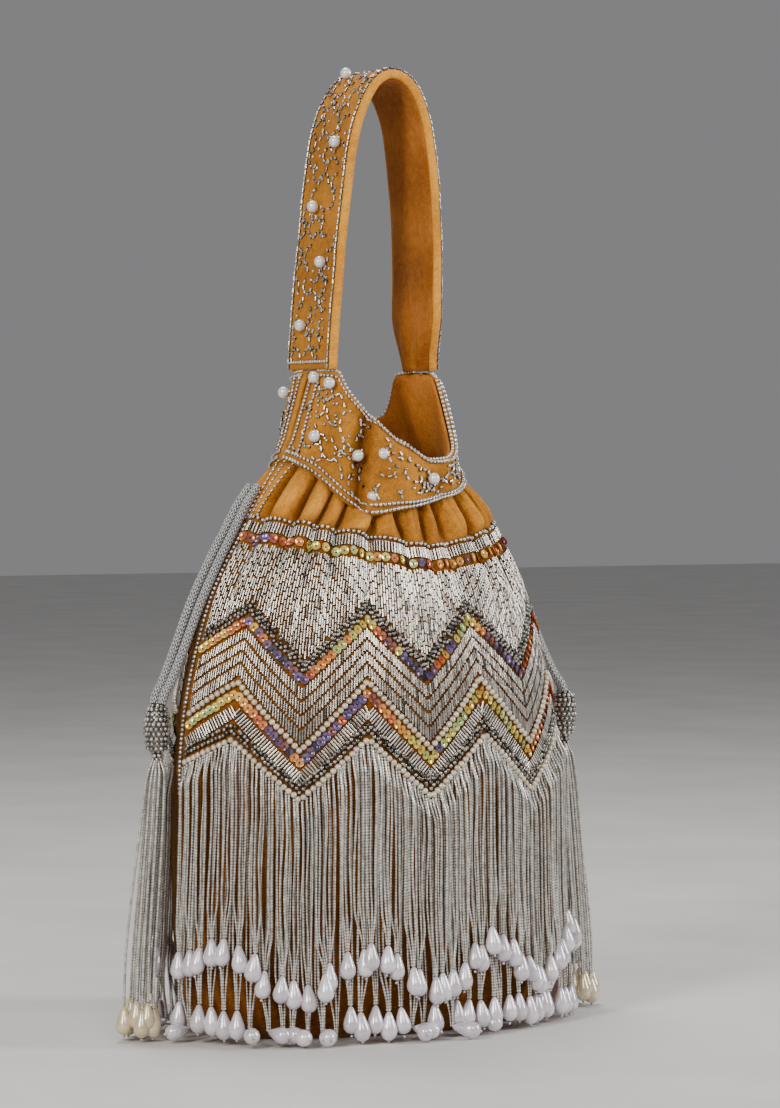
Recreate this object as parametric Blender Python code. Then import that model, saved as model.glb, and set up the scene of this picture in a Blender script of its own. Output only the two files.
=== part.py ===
"""Potli bag: a beaded velvet drawstring pouch with a loop handle, bead fringes and two tassel pulls.

The front of the bag faces -Y, +Z is up and the bag stands on z = 0. The handle arches from side to
side (X). A place on the pouch is given by t, the share of the way along the front (or back) from the
seam at -X to the seam at +X, and by its height. Lengths below are millimetres, turned into metres
by MM as the meshes are made.
"""

import math

import bpy
import numpy as np
from mathutils import Vector

MM = 0.001
FRONT, BACK = -1, 1
GAP = 0.35            # left between pieces that touch
COLS = 24             # columns of facets across the front, and across the back

# Velvet pouch: height, half width in X, half width in Y.
POUCH = [(0, 74, 40), (6, 82, 47), (20, 87.5, 51.5), (50, 90, 53.6), (85, 90.5, 54), (112, 90.3, 53.8),
         (130, 89, 53), (148, 86, 51), (166, 81.5, 48), (184, 75.5, 44.4), (200, 67.5, 40.2),
         (210, 61.5, 37), (219, 56.5, 34.6)]
CLOTH = 1.2           # velvet with its backing
# Wavy line where the beading ends and the plain gathers start: t, height.
BEAD_TOP = [(0, 219), (0.15, 217), (0.36, 212), (0.58, 207.5), (0.8, 212.5), (1, 217)]
BEAD_TOP_BACK = [(0, 219), (0.5, 210), (1, 217)]
PLEAT = 1.7           # half depth of a gather
TUCK = 6              # how far the gathers run up inside the collar

# Collar: the band that hides the drawstring casing. Its foot is an oval, its rim a rounded oblong.
COLLAR_FOOT, COLLAR_RIM = (46, 32.5), (28.6, 24.5)
COLLAR_CLOTH = 1.6
COLLAR_LOW = [(0, 245), (0.13, 241), (0.22, 234.5), (0.29, 226), (0.36, 220.6), (0.48, 225), (0.65, 232),
              (0.8, 238), (1, 243)]
COLLAR_LOW_BACK = [(0, 245), (0.5, 233), (1, 243)]
COLLAR_TOP = [(0, 281), (0.17, 280.5), (0.27, 273), (0.39, 264), (0.45, 258), (0.53, 252), (0.61, 247),
              (0.7, 244), (0.79, 250), (0.87, 265), (0.93, 280), (1, 281)]
COLLAR_TOP_BACK = [(0, 281), (0.18, 280), (0.45, 258), (0.7, 262), (0.86, 280), (1, 281)]

# Loop handle: points (x, z) of the middle of its thickness, from the left foot over to the right.
STRAP_LINE = [(-26.2, 281.6), (-25.6, 290), (-23.7, 311), (-21.6, 336), (-19.3, 358), (-16, 378),
              (-11.5, 392), (-4.5, 403.5), (3.5, 407.5), (12, 403.5), (18.8, 391), (22.2, 374),
              (23.9, 355), (24.6, 330), (24.6, 305), (25.4, 290), (26.2, 281.6)]
STRAP_WIDTH, STRAP_OUTER, STRAP_INNER = 38, 2.4, 1.6
STRAP_PINCH = 24      # its width at the right foot, where it is gathered into the collar

# Zigzag borders. Heights at the seams, at the peaks and at the valleys, of each border's middle line.
PEAKS = 4
ZIGZAG = {"upper_sequins": (160, 176, 151), "upper_pearls": (133, 150.5, 122),
          "lower_pearls": (113.5, 126.5, 101.5)}
BAND_START = 0.021    # the borders leave a plain strip and a line of beads beside each side seam

# Fringe and drops.
DROP = 12             # length of a drop pearl
SHORT_DROP_FOOT = (21, 32, 12.6)   # foot of the short fringe at the seams, peaks and valleys

# Drawcord, knobs and tassels: centres (x, y, z) for the left side; the right is its mirror image.
CORD_D = 4.0
CORD_ROUTE = [(-51.9, 5.2, 232), (-57.6, 5.0, 224.5), (-64.4, 4.5, 213), (-72.6, 3.9, 199),
              (-81.3, 3.3, 182), (-89.4, 2.6, 163), (-95.6, 1.6, 150), (-99.2, 0.6, 144.6), (-100.6, 0, 140.7)]
CORD_SPREAD = 3.3     # half the distance between the two strands of a side in mid run
KNOB_X, KNOB_TOP, KNOB_FOOT, KNOB_R = 101, 139.5, 121.5, 5.9
NECK_FOOT, NECK_R = 117.3, 2.7
TASSEL = [(117, 101, 2.6, 2.6), (108, 101.8, 3.6, 4.6), (90, 103.6, 4.4, 6.6), (60, 106.4, 5, 8.6),
          (30, 109, 5.4, 10.2), (12.5, 110.2, 5.9, 11.2), (0.3, 110.6, 6.2, 11.6)]

PEARL_R = 2.5


def curve_through(points, x):
    """Value at x of a smooth curve through (x, value...) rows, without overshoot at the rows."""
    p = np.array(points, float)
    k = int(np.clip(np.searchsorted(p[:, 0], x) - 1, 0, len(p) - 2))
    slope = np.zeros_like(p[:, 1:])
    d = np.diff(p[:, 1:], axis=0) / np.diff(p[:, 0])[:, None]
    slope[0], slope[-1] = d[0], d[-1]
    same = d[:-1] * d[1:] > 0
    slope[1:-1] = np.where(same, 2 * d[:-1] * d[1:] / np.where(same, d[:-1] + d[1:], 1), 0)
    h = p[k + 1, 0] - p[k, 0]
    s = float(np.clip((x - p[k, 0]) / h, 0, 1))
    a, b = 2 * s**3 - 3 * s**2 + 1, s**3 - 2 * s**2 + s
    value = a * p[k, 1:] + (1 - a) * p[k + 1, 1:] + h * (b * slope[k] + (s**3 - s**2) * slope[k + 1])
    return value if len(value) > 1 else float(value[0])


def arc_table(a=90, b=54, steps=720):
    """Angles of an oval at equal shares of its half girth."""
    angle = np.linspace(0, math.pi, steps + 1)
    x, y = a * np.cos(angle), b * np.sin(angle)
    girth = np.concatenate([[0], np.cumsum(np.hypot(np.diff(x), np.diff(y)))])
    return girth / girth[-1], angle


SHARE, ANGLE = arc_table()


def oval(t, a, b, side, off=0.0, power=2.0):
    """Point (x, y) at share t along an oval, moved outwards by off. Power above 2 squares it off."""
    angle = math.pi - float(np.interp(t, SHARE, ANGLE))
    c, s = math.cos(angle), math.sin(angle)
    x = a * math.copysign(abs(c) ** (2 / power), c)
    y = b * abs(s) ** (2 / power)
    n = Vector((b * math.copysign(abs(c) ** (2 - 2 / power), c), a * abs(s) ** (2 - 2 / power)))
    n.normalize()
    return x + off * n.x, side * (y + off * n.y)


def pouch(t, z, off, side):
    """Point of the velvet pouch's outer face, moved outwards by off."""
    a, b = curve_through(POUCH, min(z, POUCH[-1][0]))
    x, y = oval(t, a, b, side, off)
    return Vector((x, y, z))


def hang(t, z, off, side):
    """Point that hangs plumb from the widest part of the pouch above it."""
    a, b = np.max([curve_through(POUCH, h) for h in np.arange(min(z, 100), 131, 5)], axis=0)
    x, y = oval(t, a, b, side, off)
    return Vector((x, y, z))


def bead_top(t, side):
    return curve_through(BEAD_TOP if side == FRONT else BEAD_TOP_BACK, t)


def collar_heights(t, side):
    low = curve_through(COLLAR_LOW if side == FRONT else COLLAR_LOW_BACK, t)
    top = curve_through(COLLAR_TOP if side == FRONT else COLLAR_TOP_BACK, t)
    return low, top


def collar(t, h, off, side):
    """Point of the collar's outer face: h runs from 0 at its foot to 1 at its rim."""
    low, top = collar_heights(t, side)
    z = low + h * (top - low)
    reach = min(max((z - 222) / 58, 0), 1)
    a = COLLAR_FOOT[0] + (COLLAR_RIM[0] - COLLAR_FOOT[0]) * reach**0.9
    b = COLLAR_FOOT[1] + (COLLAR_RIM[1] - COLLAR_FOOT[1]) * reach
    bulge = math.sin(math.pi * min(max(h, 0), 1))
    if side == FRONT:
        off += bulge * (3.2 * math.exp(-((t - 0.5) / 0.13) ** 2) - 3.6 * math.exp(-((t - 0.3) / 0.05) ** 2))
        off += 2.2 * math.exp(-((t - 0.74) / 0.1) ** 2) * h
    x, y = oval(t, a, b, side, off, 2 + 1.7 * reach)
    return Vector((x, y, z))


def gathers(t, g, off, side, column):
    """Point of the plain gathered velvet: g runs from 0 at the beading to 1 at the collar's foot."""
    z0, z1 = bead_top(t, side), collar_heights(t, side)[0]
    lower, upper = pouch(t, z0, off, side), collar(t, 0, off - 2.1, side)
    p = lower.lerp(upper, g)
    puff = 2.4 * math.sin(math.pi * g) + PLEAT * math.sin(math.pi * min(g, 0.92)) * (-1) ** column
    out = Vector((p.x / 46**2, p.y / 32**2)).normalized()
    edge = min(1, 12 * t, 12 * (1 - t))
    return Vector((p.x + out.x * puff * edge, p.y + out.y * puff * edge, z0 + g * (z1 - z0)))


def material(name, colour, roughness, metallic=0.0, sheen=0.0):
    m = bpy.data.materials.new(name)
    m.use_nodes = True
    shader = m.node_tree.nodes["Principled BSDF"]
    shader.inputs["Base Color"].default_value = (*colour, 1)
    shader.inputs["Roughness"].default_value = roughness
    shader.inputs["Metallic"].default_value = metallic
    shader.inputs["Sheen Weight"].default_value = sheen
    m.diffuse_color = (*colour, 1)
    return m


def add(name, points, faces, look, smooth=True):
    mesh = bpy.data.meshes.new(name)
    mesh.from_pydata([Vector(p) * MM for p in points], [], faces)
    mesh.materials.append(look)
    if smooth:
        mesh.shade_smooth()
        mesh.set_sharp_from_angle(angle=math.radians(40))
    mesh.validate()
    ob = bpy.data.objects.new(name, mesh)
    bpy.context.scene.collection.objects.link(ob)
    return ob


def shell(name, outer, inner, look, ring=False, flip=False):
    """Closed solid between two equal grids of points, each a list of rows. A ring joins its ends."""
    rows, cols = len(outer), len(outer[0])
    points = [p for row in outer for p in row] + [p for row in inner for p in row]
    half = rows * cols
    faces = []

    def quad(*f):
        faces.append(f if not flip else f[::-1])

    for r in range(rows - 1):
        for c in range(cols if ring else cols - 1):
            d = (c + 1) % cols
            quad(r * cols + c, r * cols + d, (r + 1) * cols + d, (r + 1) * cols + c)
            quad(half + r * cols + c, half + (r + 1) * cols + c, half + (r + 1) * cols + d, half + r * cols + d)
    top = (rows - 1) * cols
    for c in range(cols if ring else cols - 1):
        d = (c + 1) % cols
        quad(c, half + c, half + d, d)
        quad(top + c, top + d, half + top + d, half + top + c)
    if not ring:
        for r in range(rows - 1):
            a, b = r * cols, (r + 1) * cols
            quad(a, b, half + b, half + a)
            a, b = a + cols - 1, b + cols - 1
            quad(a, half + a, half + b, b)
    return add(name, points, faces, look)


def columns(start=0.0):
    return [start] + [c / COLS for c in range(1, COLS)] + [1 - start]


def zigzag(t, at_seam, at_peak, at_valley):
    """Height of a zigzag with PEAKS peaks, a part-height start at each seam and valleys between."""
    knots = np.arange(2 * PEAKS + 1) / (2 * PEAKS)
    heights = [at_peak if k % 2 else at_valley for k in range(2 * PEAKS + 1)]
    heights[0] = heights[-1] = at_seam
    return float(np.interp(t, knots, heights))


def border(name, side, rows, look, place=pouch, start=BAND_START):
    """Band of beading that lies on the pouch. Rows are (height as a function of t, inner, outer)."""
    ts = columns(start)
    outer = [[place(t, z(t), o, side) for t in ts] for z, i, o in rows]
    inner = [[place(t, z(t), i, side) for t in ts] for z, i, o in rows]
    return shell(name, outer, inner, look, flip=side == BACK)


def turned(name, profile, look, sides=12, centre=(0, 0)):
    """Closed solid whose level sections are ovals: rows are (z, x centre, half x, half y)."""
    points, faces = [], []
    for z, x, rx, ry in profile:
        points += [(centre[0] + x + rx * math.cos(2 * math.pi * k / sides),
                    centre[1] + ry * math.sin(2 * math.pi * k / sides), z) for k in range(sides)]
    for r in range(len(profile) - 1):
        for k in range(sides):
            n = (k + 1) % sides
            faces.append((r * sides + k, r * sides + n, (r + 1) * sides + n, (r + 1) * sides + k))
    faces.append(tuple(range(sides))[::-1])
    faces.append(tuple(range((len(profile) - 1) * sides, len(profile) * sides)))
    if profile[0][0] > profile[-1][0]:
        faces = [f[::-1] for f in faces]
    return add(name, points, faces, look)


def spline(points, count):
    """Evenly spaced points on a smooth (Catmull-Rom) curve through the given ones."""
    p = np.array(points, float)
    p = np.vstack([2 * p[0] - p[1], p, 2 * p[-1] - p[-2]])
    fine = []
    for k in range(1, len(p) - 2):
        for s in np.linspace(0, 1, 24, endpoint=False):
            a, b, c, d = p[k - 1:k + 3]
            fine.append(0.5 * (2 * b + (c - a) * s + (2 * a - 5 * b + 4 * c - d) * s**2
                               + (3 * b - a - 3 * c + d) * s**3))
    fine = np.array(fine + [p[-2]])
    along = np.concatenate([[0], np.cumsum(np.linalg.norm(np.diff(fine, axis=0), axis=1))])
    at = np.linspace(0, along[-1], count)
    return np.stack([np.interp(at, along, fine[:, k]) for k in range(fine.shape[1])], axis=1)


def pouch_panels(velvet, satin):
    for name, side in (("body_front_panel", FRONT), ("body_back_panel", BACK)):
        ts = columns(0.0009)
        grids = []
        for off in (0, -CLOTH):
            rows = [[pouch(t, z, off, side) for t in ts]
                    for z in (0, 6, 20, 50, 80, 105, 125, 145, 163, 181, 196)]
            rows.append([pouch(t, bead_top(t, side), off, side) for t in ts])
            rows += [[gathers(t, g, off, side, c) for c, t in enumerate(ts)] for g in (0.3, 0.65, 1)]
            rows.append([collar(t, TUCK / max(np.subtract(*collar_heights(t, side)[::-1]), 1),
                                off - 2.1, side) for t in ts])
            grids.append(rows)
        shell(name, *grids, velvet, flip=side == BACK)

    ring = [(t, FRONT) for t in columns()[:-1]] + [(t, BACK) for t in columns()[:0:-1]]
    whole, ring = ring, ring[::2]
    grids = []
    for off in (-CLOTH - 0.6, -CLOTH - 1.5):
        rows = [[pouch(t, z, off, side) for t, side in ring] for z in (2.7, 8, 22, 60, 110, 150, 182, 200)]
        rows.append([pouch(t, 0.5 * (200 + collar_heights(t, side)[0]), off, side).lerp(
            collar(t, 0, off - 5, side), 0.62) for t, side in ring])
        for (t, side), p in zip(ring, rows[-1]):
            p.z = 0.4 * 200 + 0.6 * collar_heights(t, side)[0]
        rows.append([collar(t, 0, off - 2.2, side) - Vector((0, 0, 2.6)) for t, side in ring])
        grids.append(rows)
    shell("lining", *grids, satin, ring=True)

    a, b = POUCH[0][1] - CLOTH - GAP, POUCH[0][2] - CLOTH - GAP
    rim = [oval(t, a, b, side) for t, side in whole]
    points = [(x, y, z) for z in (0, 2.2) for x, y in rim]
    n = len(rim)
    faces = [tuple(range(n))[::-1], tuple(range(n, 2 * n))]
    faces += [(k, (k + 1) % n, n + (k + 1) % n, n + k) for k in range(n)]
    add("base_panel", points, faces, velvet, smooth=False)


def collar_pieces(velvet, plain):
    for name, side in (("collar_front", FRONT), ("collar_back", BACK)):
        ts = columns(0.0022)
        grids = [[[collar(t, h, off, side) for t in ts] for h in (0, 0.2, 0.45, 0.72, 1)]
                 for off in (0, -COLLAR_CLOTH)]
        shell(name, *grids, velvet, flip=side == BACK)
    ring = [(t, FRONT) for t in columns()[:-1]] + [(t, BACK) for t in columns()[:0:-1]]
    grids = []
    for thick in (0, 1.0):
        rows = []
        for h in (0, 0.3, 0.65, 1):
            rows.append([collar(t, h, -COLLAR_CLOTH - GAP - thick - 2.2 * (1 - h**3), side)
                         for t, side in ring])
        grids.append(rows)
    shell("collar_facing", *grids, plain, ring=True)


def strap_pieces(velvet, plain):
    line = spline(STRAP_LINE, 31)
    tangent = np.gradient(line, axis=0)
    tangent /= np.linalg.norm(tangent, axis=1)[:, None]
    outward = np.stack([-tangent[:, 1], tangent[:, 0]], axis=1)
    share = np.linspace(0, 1, len(line))
    pinch = np.clip((share - 0.9) / 0.1, 0, 1)
    width = STRAP_WIDTH - (STRAP_WIDTH - STRAP_PINCH) * pinch * pinch * (3 - 2 * pinch)
    half = (STRAP_OUTER + STRAP_INNER + GAP) / 2
    layers = (("strap_outer", half, half - STRAP_OUTER, velvet, 1.0),
              ("strap_facing", half - STRAP_OUTER - GAP, -half, plain, 0.96))
    for name, out, into, look, share_of_width in layers:
        grids = []
        for off in (out, into):
            rows = []
            for y in (-0.5, -0.46, 0, 0.46, 0.5):
                edge = 0.35 * (out - into) if abs(y) == 0.5 else 0
                d = off - math.copysign(edge, off - (out + into) / 2)
                rows.append([(p[0] + d * n[0], y * w * share_of_width, p[1] + d * n[1])
                             for p, n, w in zip(line, outward, width)])
            grids.append(rows)
        shell(name, *grids, look)


def beading(looks):
    for tag, side in (("front", FRONT), ("back", BACK)):
        def top(drop, side=side):
            return lambda t: bead_top(t, side) - drop

        def zig(key, up):
            return lambda t: zigzag(t, *ZIGZAG[key]) + up

        def flat(name, upper, lower, thick, look, start=BAND_START):
            border(f"{name}_{tag}", side, [(lower, 0.5, 0.5 + thick), (upper, 0.5, 0.5 + thick)], look,
                   start=start)

        flat("top_bead_line", top(0.2), top(1.8), 1.5, looks["seed"])
        flat("top_bugle_row", top(2.1), top(6.5), 1.5, looks["bugle"])
        flat("top_sequin_row", top(6.9), top(10.4), 1.2, looks["sequin"])
        border(f"bugle_field_{tag}", side, [(zig("upper_sequins", 6.3), 0.5, 2.0),
                                            (lambda t: 0.5 * (zigzag(t, *ZIGZAG["upper_sequins"]) + 6.3
                                                              + bead_top(t, side) - 10.8), 0.55, 2.0),
                                            (top(10.8), 0.5, 2.0)], looks["bugle"])
        flat("upper_bead_zigzag", zig("upper_sequins", 5.9), zig("upper_sequins", 2.3), 1.6, looks["seed"])
        flat("upper_sequin_zigzag", zig("upper_sequins", 1.9), zig("upper_sequins", -2.3), 1.3,
             looks["sequin"])
        flat("chevron_field", zig("upper_sequins", -2.7), zig("upper_pearls", 2.0), 1.5, looks["bugle"])
        flat("upper_pearl_zigzag", zig("upper_pearls", 1.6), zig("upper_pearls", -1.6), 2.4, looks["pearl"])
        flat("lower_sequin_zigzag", zig("upper_pearls", -2.0), zig("upper_pearls", -6.2), 1.3,
             looks["sequin"])
        flat("bugle_zigzag_band", zig("upper_pearls", -6.6), zig("lower_pearls", 5.7), 1.5, looks["bugle"])
        flat("lower_bead_zigzag", zig("lower_pearls", 5.3), zig("lower_pearls", 2.0), 1.6, looks["seed"])
        flat("lower_pearl_zigzag", zig("lower_pearls", 1.6), zig("lower_pearls", -1.6), 2.4, looks["pearl"])

        def foot(t):
            return zigzag(t, *SHORT_DROP_FOOT)

        def drop_row(name, near, strings, drops, low, look, start):
            rows = [(low, near, drops), (lambda t: low(t) + DROP * 0.55, near, drops),
                    (lambda t: low(t) + DROP, near, strings), (lambda t: 66.0, near, strings),
                    (zig("lower_pearls", -2.1), near, strings)]
            border(f"{name}_{tag}", side, rows, look, place=hang, start=start)

        drop_row("fringe_long", 0.8, 3.0, 8.8, lambda t: 0.3, looks["strings"], 0.012)
        drop_row("fringe_short", 3.6, 5.8, 11.6, foot, looks["strings"], 0.03)

    for name, shares in (("seam_beads_left", (0.004, 0.0105)), ("seam_beads_right", (0.9895, 0.996))):
        heights = (103, 120, 140, 160, 180, 200, 215)
        grids = [[[pouch(t, z, off, FRONT) for t in shares] for z in heights] for off in (2.0, 0.5)]
        shell(name, *grids, looks["seed"])


def pulls(cord_look, seed, strings):
    for tag, mirror in (("left", 1), ("right", -1)):
        line = spline(CORD_ROUTE, 15)
        share = np.linspace(0, 1, len(line))
        apart = 2.25 + (CORD_SPREAD - 2.25) * np.sin(math.pi * share)
        for strand, way in (("front", -1), ("back", 1)):
            data = bpy.data.curves.new(f"drawcord_{tag}_{strand}", "CURVE")
            data.dimensions = "3D"
            data.bevel_depth = CORD_D / 2 * MM
            data.bevel_resolution = 2
            data.use_fill_caps = True
            path = data.splines.new("POLY")
            path.points.add(len(line) - 1)
            for point, (x, y, z), wide in zip(path.points, line, apart):
                point.co = (mirror * (x + 0.1 * way * wide) * MM, (y + way * wide) * MM, z * MM, 1)
            data.materials.append(cord_look)
            ob = bpy.data.objects.new(data.name, data)
            bpy.context.scene.collection.objects.link(ob)
        x = -mirror * KNOB_X
        mid = (KNOB_TOP + KNOB_FOOT) / 2
        turned(f"knob_{tag}", [(NECK_FOOT, x, NECK_R, NECK_R), (KNOB_FOOT - 0.6, x, NECK_R, NECK_R),
                               (KNOB_FOOT, x, KNOB_R * 0.78, KNOB_R * 0.78),
                               (KNOB_FOOT + 2.6, x, KNOB_R * 0.96, KNOB_R * 0.96), (mid, x, KNOB_R, KNOB_R),
                               (KNOB_TOP - 2.6, x, KNOB_R * 0.97, KNOB_R * 0.97),
                               (KNOB_TOP, x, KNOB_R * 0.82, KNOB_R * 0.82)], seed)
        turned(f"tassel_{tag}", [(z, -mirror * cx, rx, ry) for z, cx, rx, ry in TASSEL], strings, sides=14)


def bead(name, centre, look):
    """Round pearl as a small faceted ball."""
    rows = [(0.35, -0.94), (0.87, -0.5), (1, 0), (0.87, 0.5), (0.35, 0.94)]
    profile = [(centre[2] + PEARL_R * h, 0, PEARL_R * r, PEARL_R * r) for r, h in rows]
    return turned(name, profile, look, sides=7, centre=(centre[0], centre[1]))


def pearls(look):
    """Round pearls sewn on the collar and on the outer face of the handle."""
    spots = [(0.045, 0.93), (0.15, 0.88), (0.12, 0.3), (0.335, 0.5), (0.43, 0.62), (0.375, 0.16), (0.60, 0.3)]
    for k, (t, h) in enumerate(spots, 1):
        bead(f"collar_pearl_{k}", collar(t, h, PEARL_R + GAP, FRONT), look)
    line = spline(STRAP_LINE, 101)
    tangent = np.gradient(line, axis=0)
    tangent /= np.linalg.norm(tangent, axis=1)[:, None]
    half = (STRAP_OUTER + STRAP_INNER + GAP) / 2 + PEARL_R + GAP
    for k, (share, y) in enumerate([(0.07, 5.5), (0.17, -8), (0.265, 2.5), (0.36, -9.5), (0.475, 10)], 1):
        at = int(round(share * 100))
        p, t = line[at], tangent[at]
        bead(f"strap_pearl_{k}", (p[0] - half * t[1], y, p[1] + half * t[0]), look)


def main():
    for ob in list(bpy.data.objects):
        bpy.data.objects.remove(ob, do_unlink=True)
    velvet = material("mustard_velvet", (0.56, 0.24, 0.045), 0.85, sheen=0.5)
    plain = material("plain_velvet", (0.45, 0.17, 0.03), 0.85, sheen=0.4)
    lining = material("lining_satin", (0.42, 0.16, 0.03), 0.55)
    looks = {
        "bugle": material("silver_bugles", (0.62, 0.58, 0.52), 0.25, 0.6),
        "seed": material("silver_seed_beads", (0.42, 0.41, 0.38), 0.3, 0.6),
        "sequin": material("iridescent_sequins", (0.72, 0.5, 0.3), 0.2, 0.5),
        "pearl": material("cream_pearls", (0.78, 0.7, 0.58), 0.28),
        "strings": material("bead_strings", (0.55, 0.52, 0.46), 0.3, 0.4),
    }
    white = material("white_pearl", (0.85, 0.83, 0.85), 0.25)
    cord_look = material("silver_cord", (0.42, 0.42, 0.42), 0.5, 0.3)
    pouch_panels(velvet, lining)
    collar_pieces(velvet, plain)
    strap_pieces(velvet, plain)
    beading(looks)
    pulls(cord_look, looks["seed"], looks["strings"])
    pearls(white)


main()
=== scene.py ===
"""The potli bag's finished look: velvet, beadwork, fringes, drawcords and tassels around the CAD frame.

Lengths are millimetres until a mesh is made. A place on the pouch is t, the share of the way along the
front (side -1) or back (side 1) from the seam at -X to the seam at +X, and a height z.
"""

import math

import bpy
import numpy as np
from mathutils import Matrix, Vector


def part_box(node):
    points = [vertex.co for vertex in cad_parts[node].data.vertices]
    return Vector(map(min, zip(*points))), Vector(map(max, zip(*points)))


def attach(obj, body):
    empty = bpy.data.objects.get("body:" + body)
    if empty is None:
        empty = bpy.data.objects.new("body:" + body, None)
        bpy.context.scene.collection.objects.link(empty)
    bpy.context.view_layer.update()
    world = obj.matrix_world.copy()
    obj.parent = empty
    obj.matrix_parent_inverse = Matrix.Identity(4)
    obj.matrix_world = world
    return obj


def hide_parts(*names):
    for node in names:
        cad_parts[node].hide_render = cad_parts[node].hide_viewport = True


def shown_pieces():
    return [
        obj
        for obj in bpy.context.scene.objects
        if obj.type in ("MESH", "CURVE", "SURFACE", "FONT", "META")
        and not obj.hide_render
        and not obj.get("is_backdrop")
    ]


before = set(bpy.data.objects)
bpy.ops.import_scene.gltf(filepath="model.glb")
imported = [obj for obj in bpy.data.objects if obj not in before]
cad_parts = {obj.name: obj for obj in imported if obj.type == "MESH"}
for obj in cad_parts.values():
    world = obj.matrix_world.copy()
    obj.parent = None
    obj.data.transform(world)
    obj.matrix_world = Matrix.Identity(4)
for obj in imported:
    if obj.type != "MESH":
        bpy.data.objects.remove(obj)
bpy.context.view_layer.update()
MM = 0.001
FRONT, BACK = -1, 1
rng = np.random.default_rng(11)

# ---------------------------------------------------------------- camera
scene = bpy.context.scene
camera = bpy.data.objects.new("camera", bpy.data.cameras.new("camera"))
scene.collection.objects.link(camera)
scene.camera = camera
AZIMUTH, DISTANCE, EYE, TILT = math.radians(-30), 1.74, 0.245, math.radians(1.4)
AIM = Vector((0.0089, -0.0052, EYE))
back = Vector((math.sin(AZIMUTH), -math.cos(AZIMUTH), 0))
camera.location = AIM + back * DISTANCE
look = -back * math.cos(TILT) + Vector((0, 0, -math.sin(TILT)))
camera.rotation_euler = look.to_track_quat("-Z", "Y").to_euler()
camera.data.lens, camera.data.sensor_width, camera.data.sensor_height = 131, 36, 36
camera.data.sensor_fit = "AUTO"
camera.data.clip_start, camera.data.clip_end = 0.05, 20

# ---------------------------------------------------------------- the part's own shape, as in its source
POUCH = [(0, 74, 40), (6, 82, 47), (20, 87.5, 51.5), (50, 90, 53.6), (85, 90.5, 54), (112, 90.3, 53.8),
         (130, 89, 53), (148, 86, 51), (166, 81.5, 48), (184, 75.5, 44.4), (200, 67.5, 40.2),
         (210, 61.5, 37), (219, 56.5, 34.6)]
BEAD_TOP = {FRONT: [(0, 219), (0.15, 217), (0.36, 212), (0.58, 207.5), (0.8, 212.5), (1, 217)],
            BACK: [(0, 219), (0.5, 210), (1, 217)]}
COLLAR_FOOT, COLLAR_RIM = (46, 32.5), (28.6, 24.5)
COLLAR_LOW = {FRONT: [(0, 243), (0.13, 237.5), (0.22, 230.5), (0.29, 224), (0.36, 219.6), (0.48, 222),
                      (0.65, 226), (0.8, 230), (1, 236)],
              BACK: [(0, 243), (0.5, 230), (1, 236)]}
COLLAR_TOP = {FRONT: [(0, 281), (0.17, 280.5), (0.27, 273), (0.39, 264), (0.45, 257.5), (0.53, 247.5),
                      (0.61, 243), (0.7, 243.5), (0.79, 248), (0.86, 257), (0.93, 279), (1, 281)],
              BACK: [(0, 281), (0.18, 280), (0.45, 258), (0.7, 262), (0.86, 280), (1, 281)]}
STRAP_LINE = [(-26.2, 281.6), (-25.6, 290), (-23.7, 311), (-21.6, 336), (-19.3, 358), (-16, 378),
              (-11.5, 392), (-4.5, 403.5), (3.5, 407.5), (12, 403.5), (18.8, 391), (22.2, 374),
              (23.9, 355), (24.6, 330), (24.6, 305), (25.4, 290), (26.2, 281.6)]
STRAP_WIDTH, STRAP_PINCH = 38, 24
ZIGZAG = {"upper_sequins": (160, 176, 151), "upper_pearls": (133, 150.5, 122),
          "lower_pearls": (113.5, 126.5, 101.5)}
SHORT_DROP_FOOT = (21, 32, 12.6)
CORD_D, CORD_SPREAD = 4.0, 2.6
CORD_ROUTE = [(-51.9, 5.2, 232), (-57.6, 5.0, 224.5), (-64.4, 4.5, 213), (-72.6, 3.9, 199),
              (-81.3, 3.3, 182), (-89.4, 2.6, 163), (-95.6, 1.6, 150), (-99.2, 0.6, 144.6),
              (-100.6, 0, 140.7)]
DROP_LONG, DROP_R = 12.0, 3.65


def curve(points):
    """A smooth curve through (x, value...) rows, without overshoot, as a function of an array."""
    p = np.array(points, float)
    d = np.diff(p[:, 1:], axis=0) / np.diff(p[:, 0])[:, None]
    slope = np.zeros_like(p[:, 1:])
    slope[0], slope[-1] = d[0], d[-1]
    same = d[:-1] * d[1:] > 0
    slope[1:-1] = np.where(same, 2 * d[:-1] * d[1:] / np.where(same, d[:-1] + d[1:], 1), 0)

    def value(x):
        x = np.atleast_1d(np.asarray(x, float))
        k = np.clip(np.searchsorted(p[:, 0], x) - 1, 0, len(p) - 2)
        h = (p[k + 1, 0] - p[k, 0])[:, None]
        s = np.clip((x - p[k, 0])[:, None] / h, 0, 1)
        a, b = 2 * s**3 - 3 * s**2 + 1, s**3 - 2 * s**2 + s
        v = a * p[k, 1:] + (1 - a) * p[k + 1, 1:] + h * (b * slope[k] + (s**3 - s**2) * slope[k + 1])
        return v if v.shape[1] > 1 else v[:, 0]

    return value


def spline(points, count):
    """Evenly spaced points on a smooth curve through the given ones."""
    p = np.array(points, float)
    p = np.vstack([2 * p[0] - p[1], p, 2 * p[-1] - p[-2]])
    fine = []
    for k in range(1, len(p) - 2):
        for s in np.linspace(0, 1, 24, endpoint=False):
            a, b, c, d = p[k - 1:k + 3]
            fine.append(0.5 * (2 * b + (c - a) * s + (2 * a - 5 * b + 4 * c - d) * s**2
                               + (3 * b - a - 3 * c + d) * s**3))
    fine = np.array(fine + [p[-2]])
    along = np.concatenate([[0], np.cumsum(np.linalg.norm(np.diff(fine, axis=0), axis=1))])
    at = np.linspace(0, along[-1], count)
    return np.stack([np.interp(at, along, fine[:, k]) for k in range(fine.shape[1])], axis=1)


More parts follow.
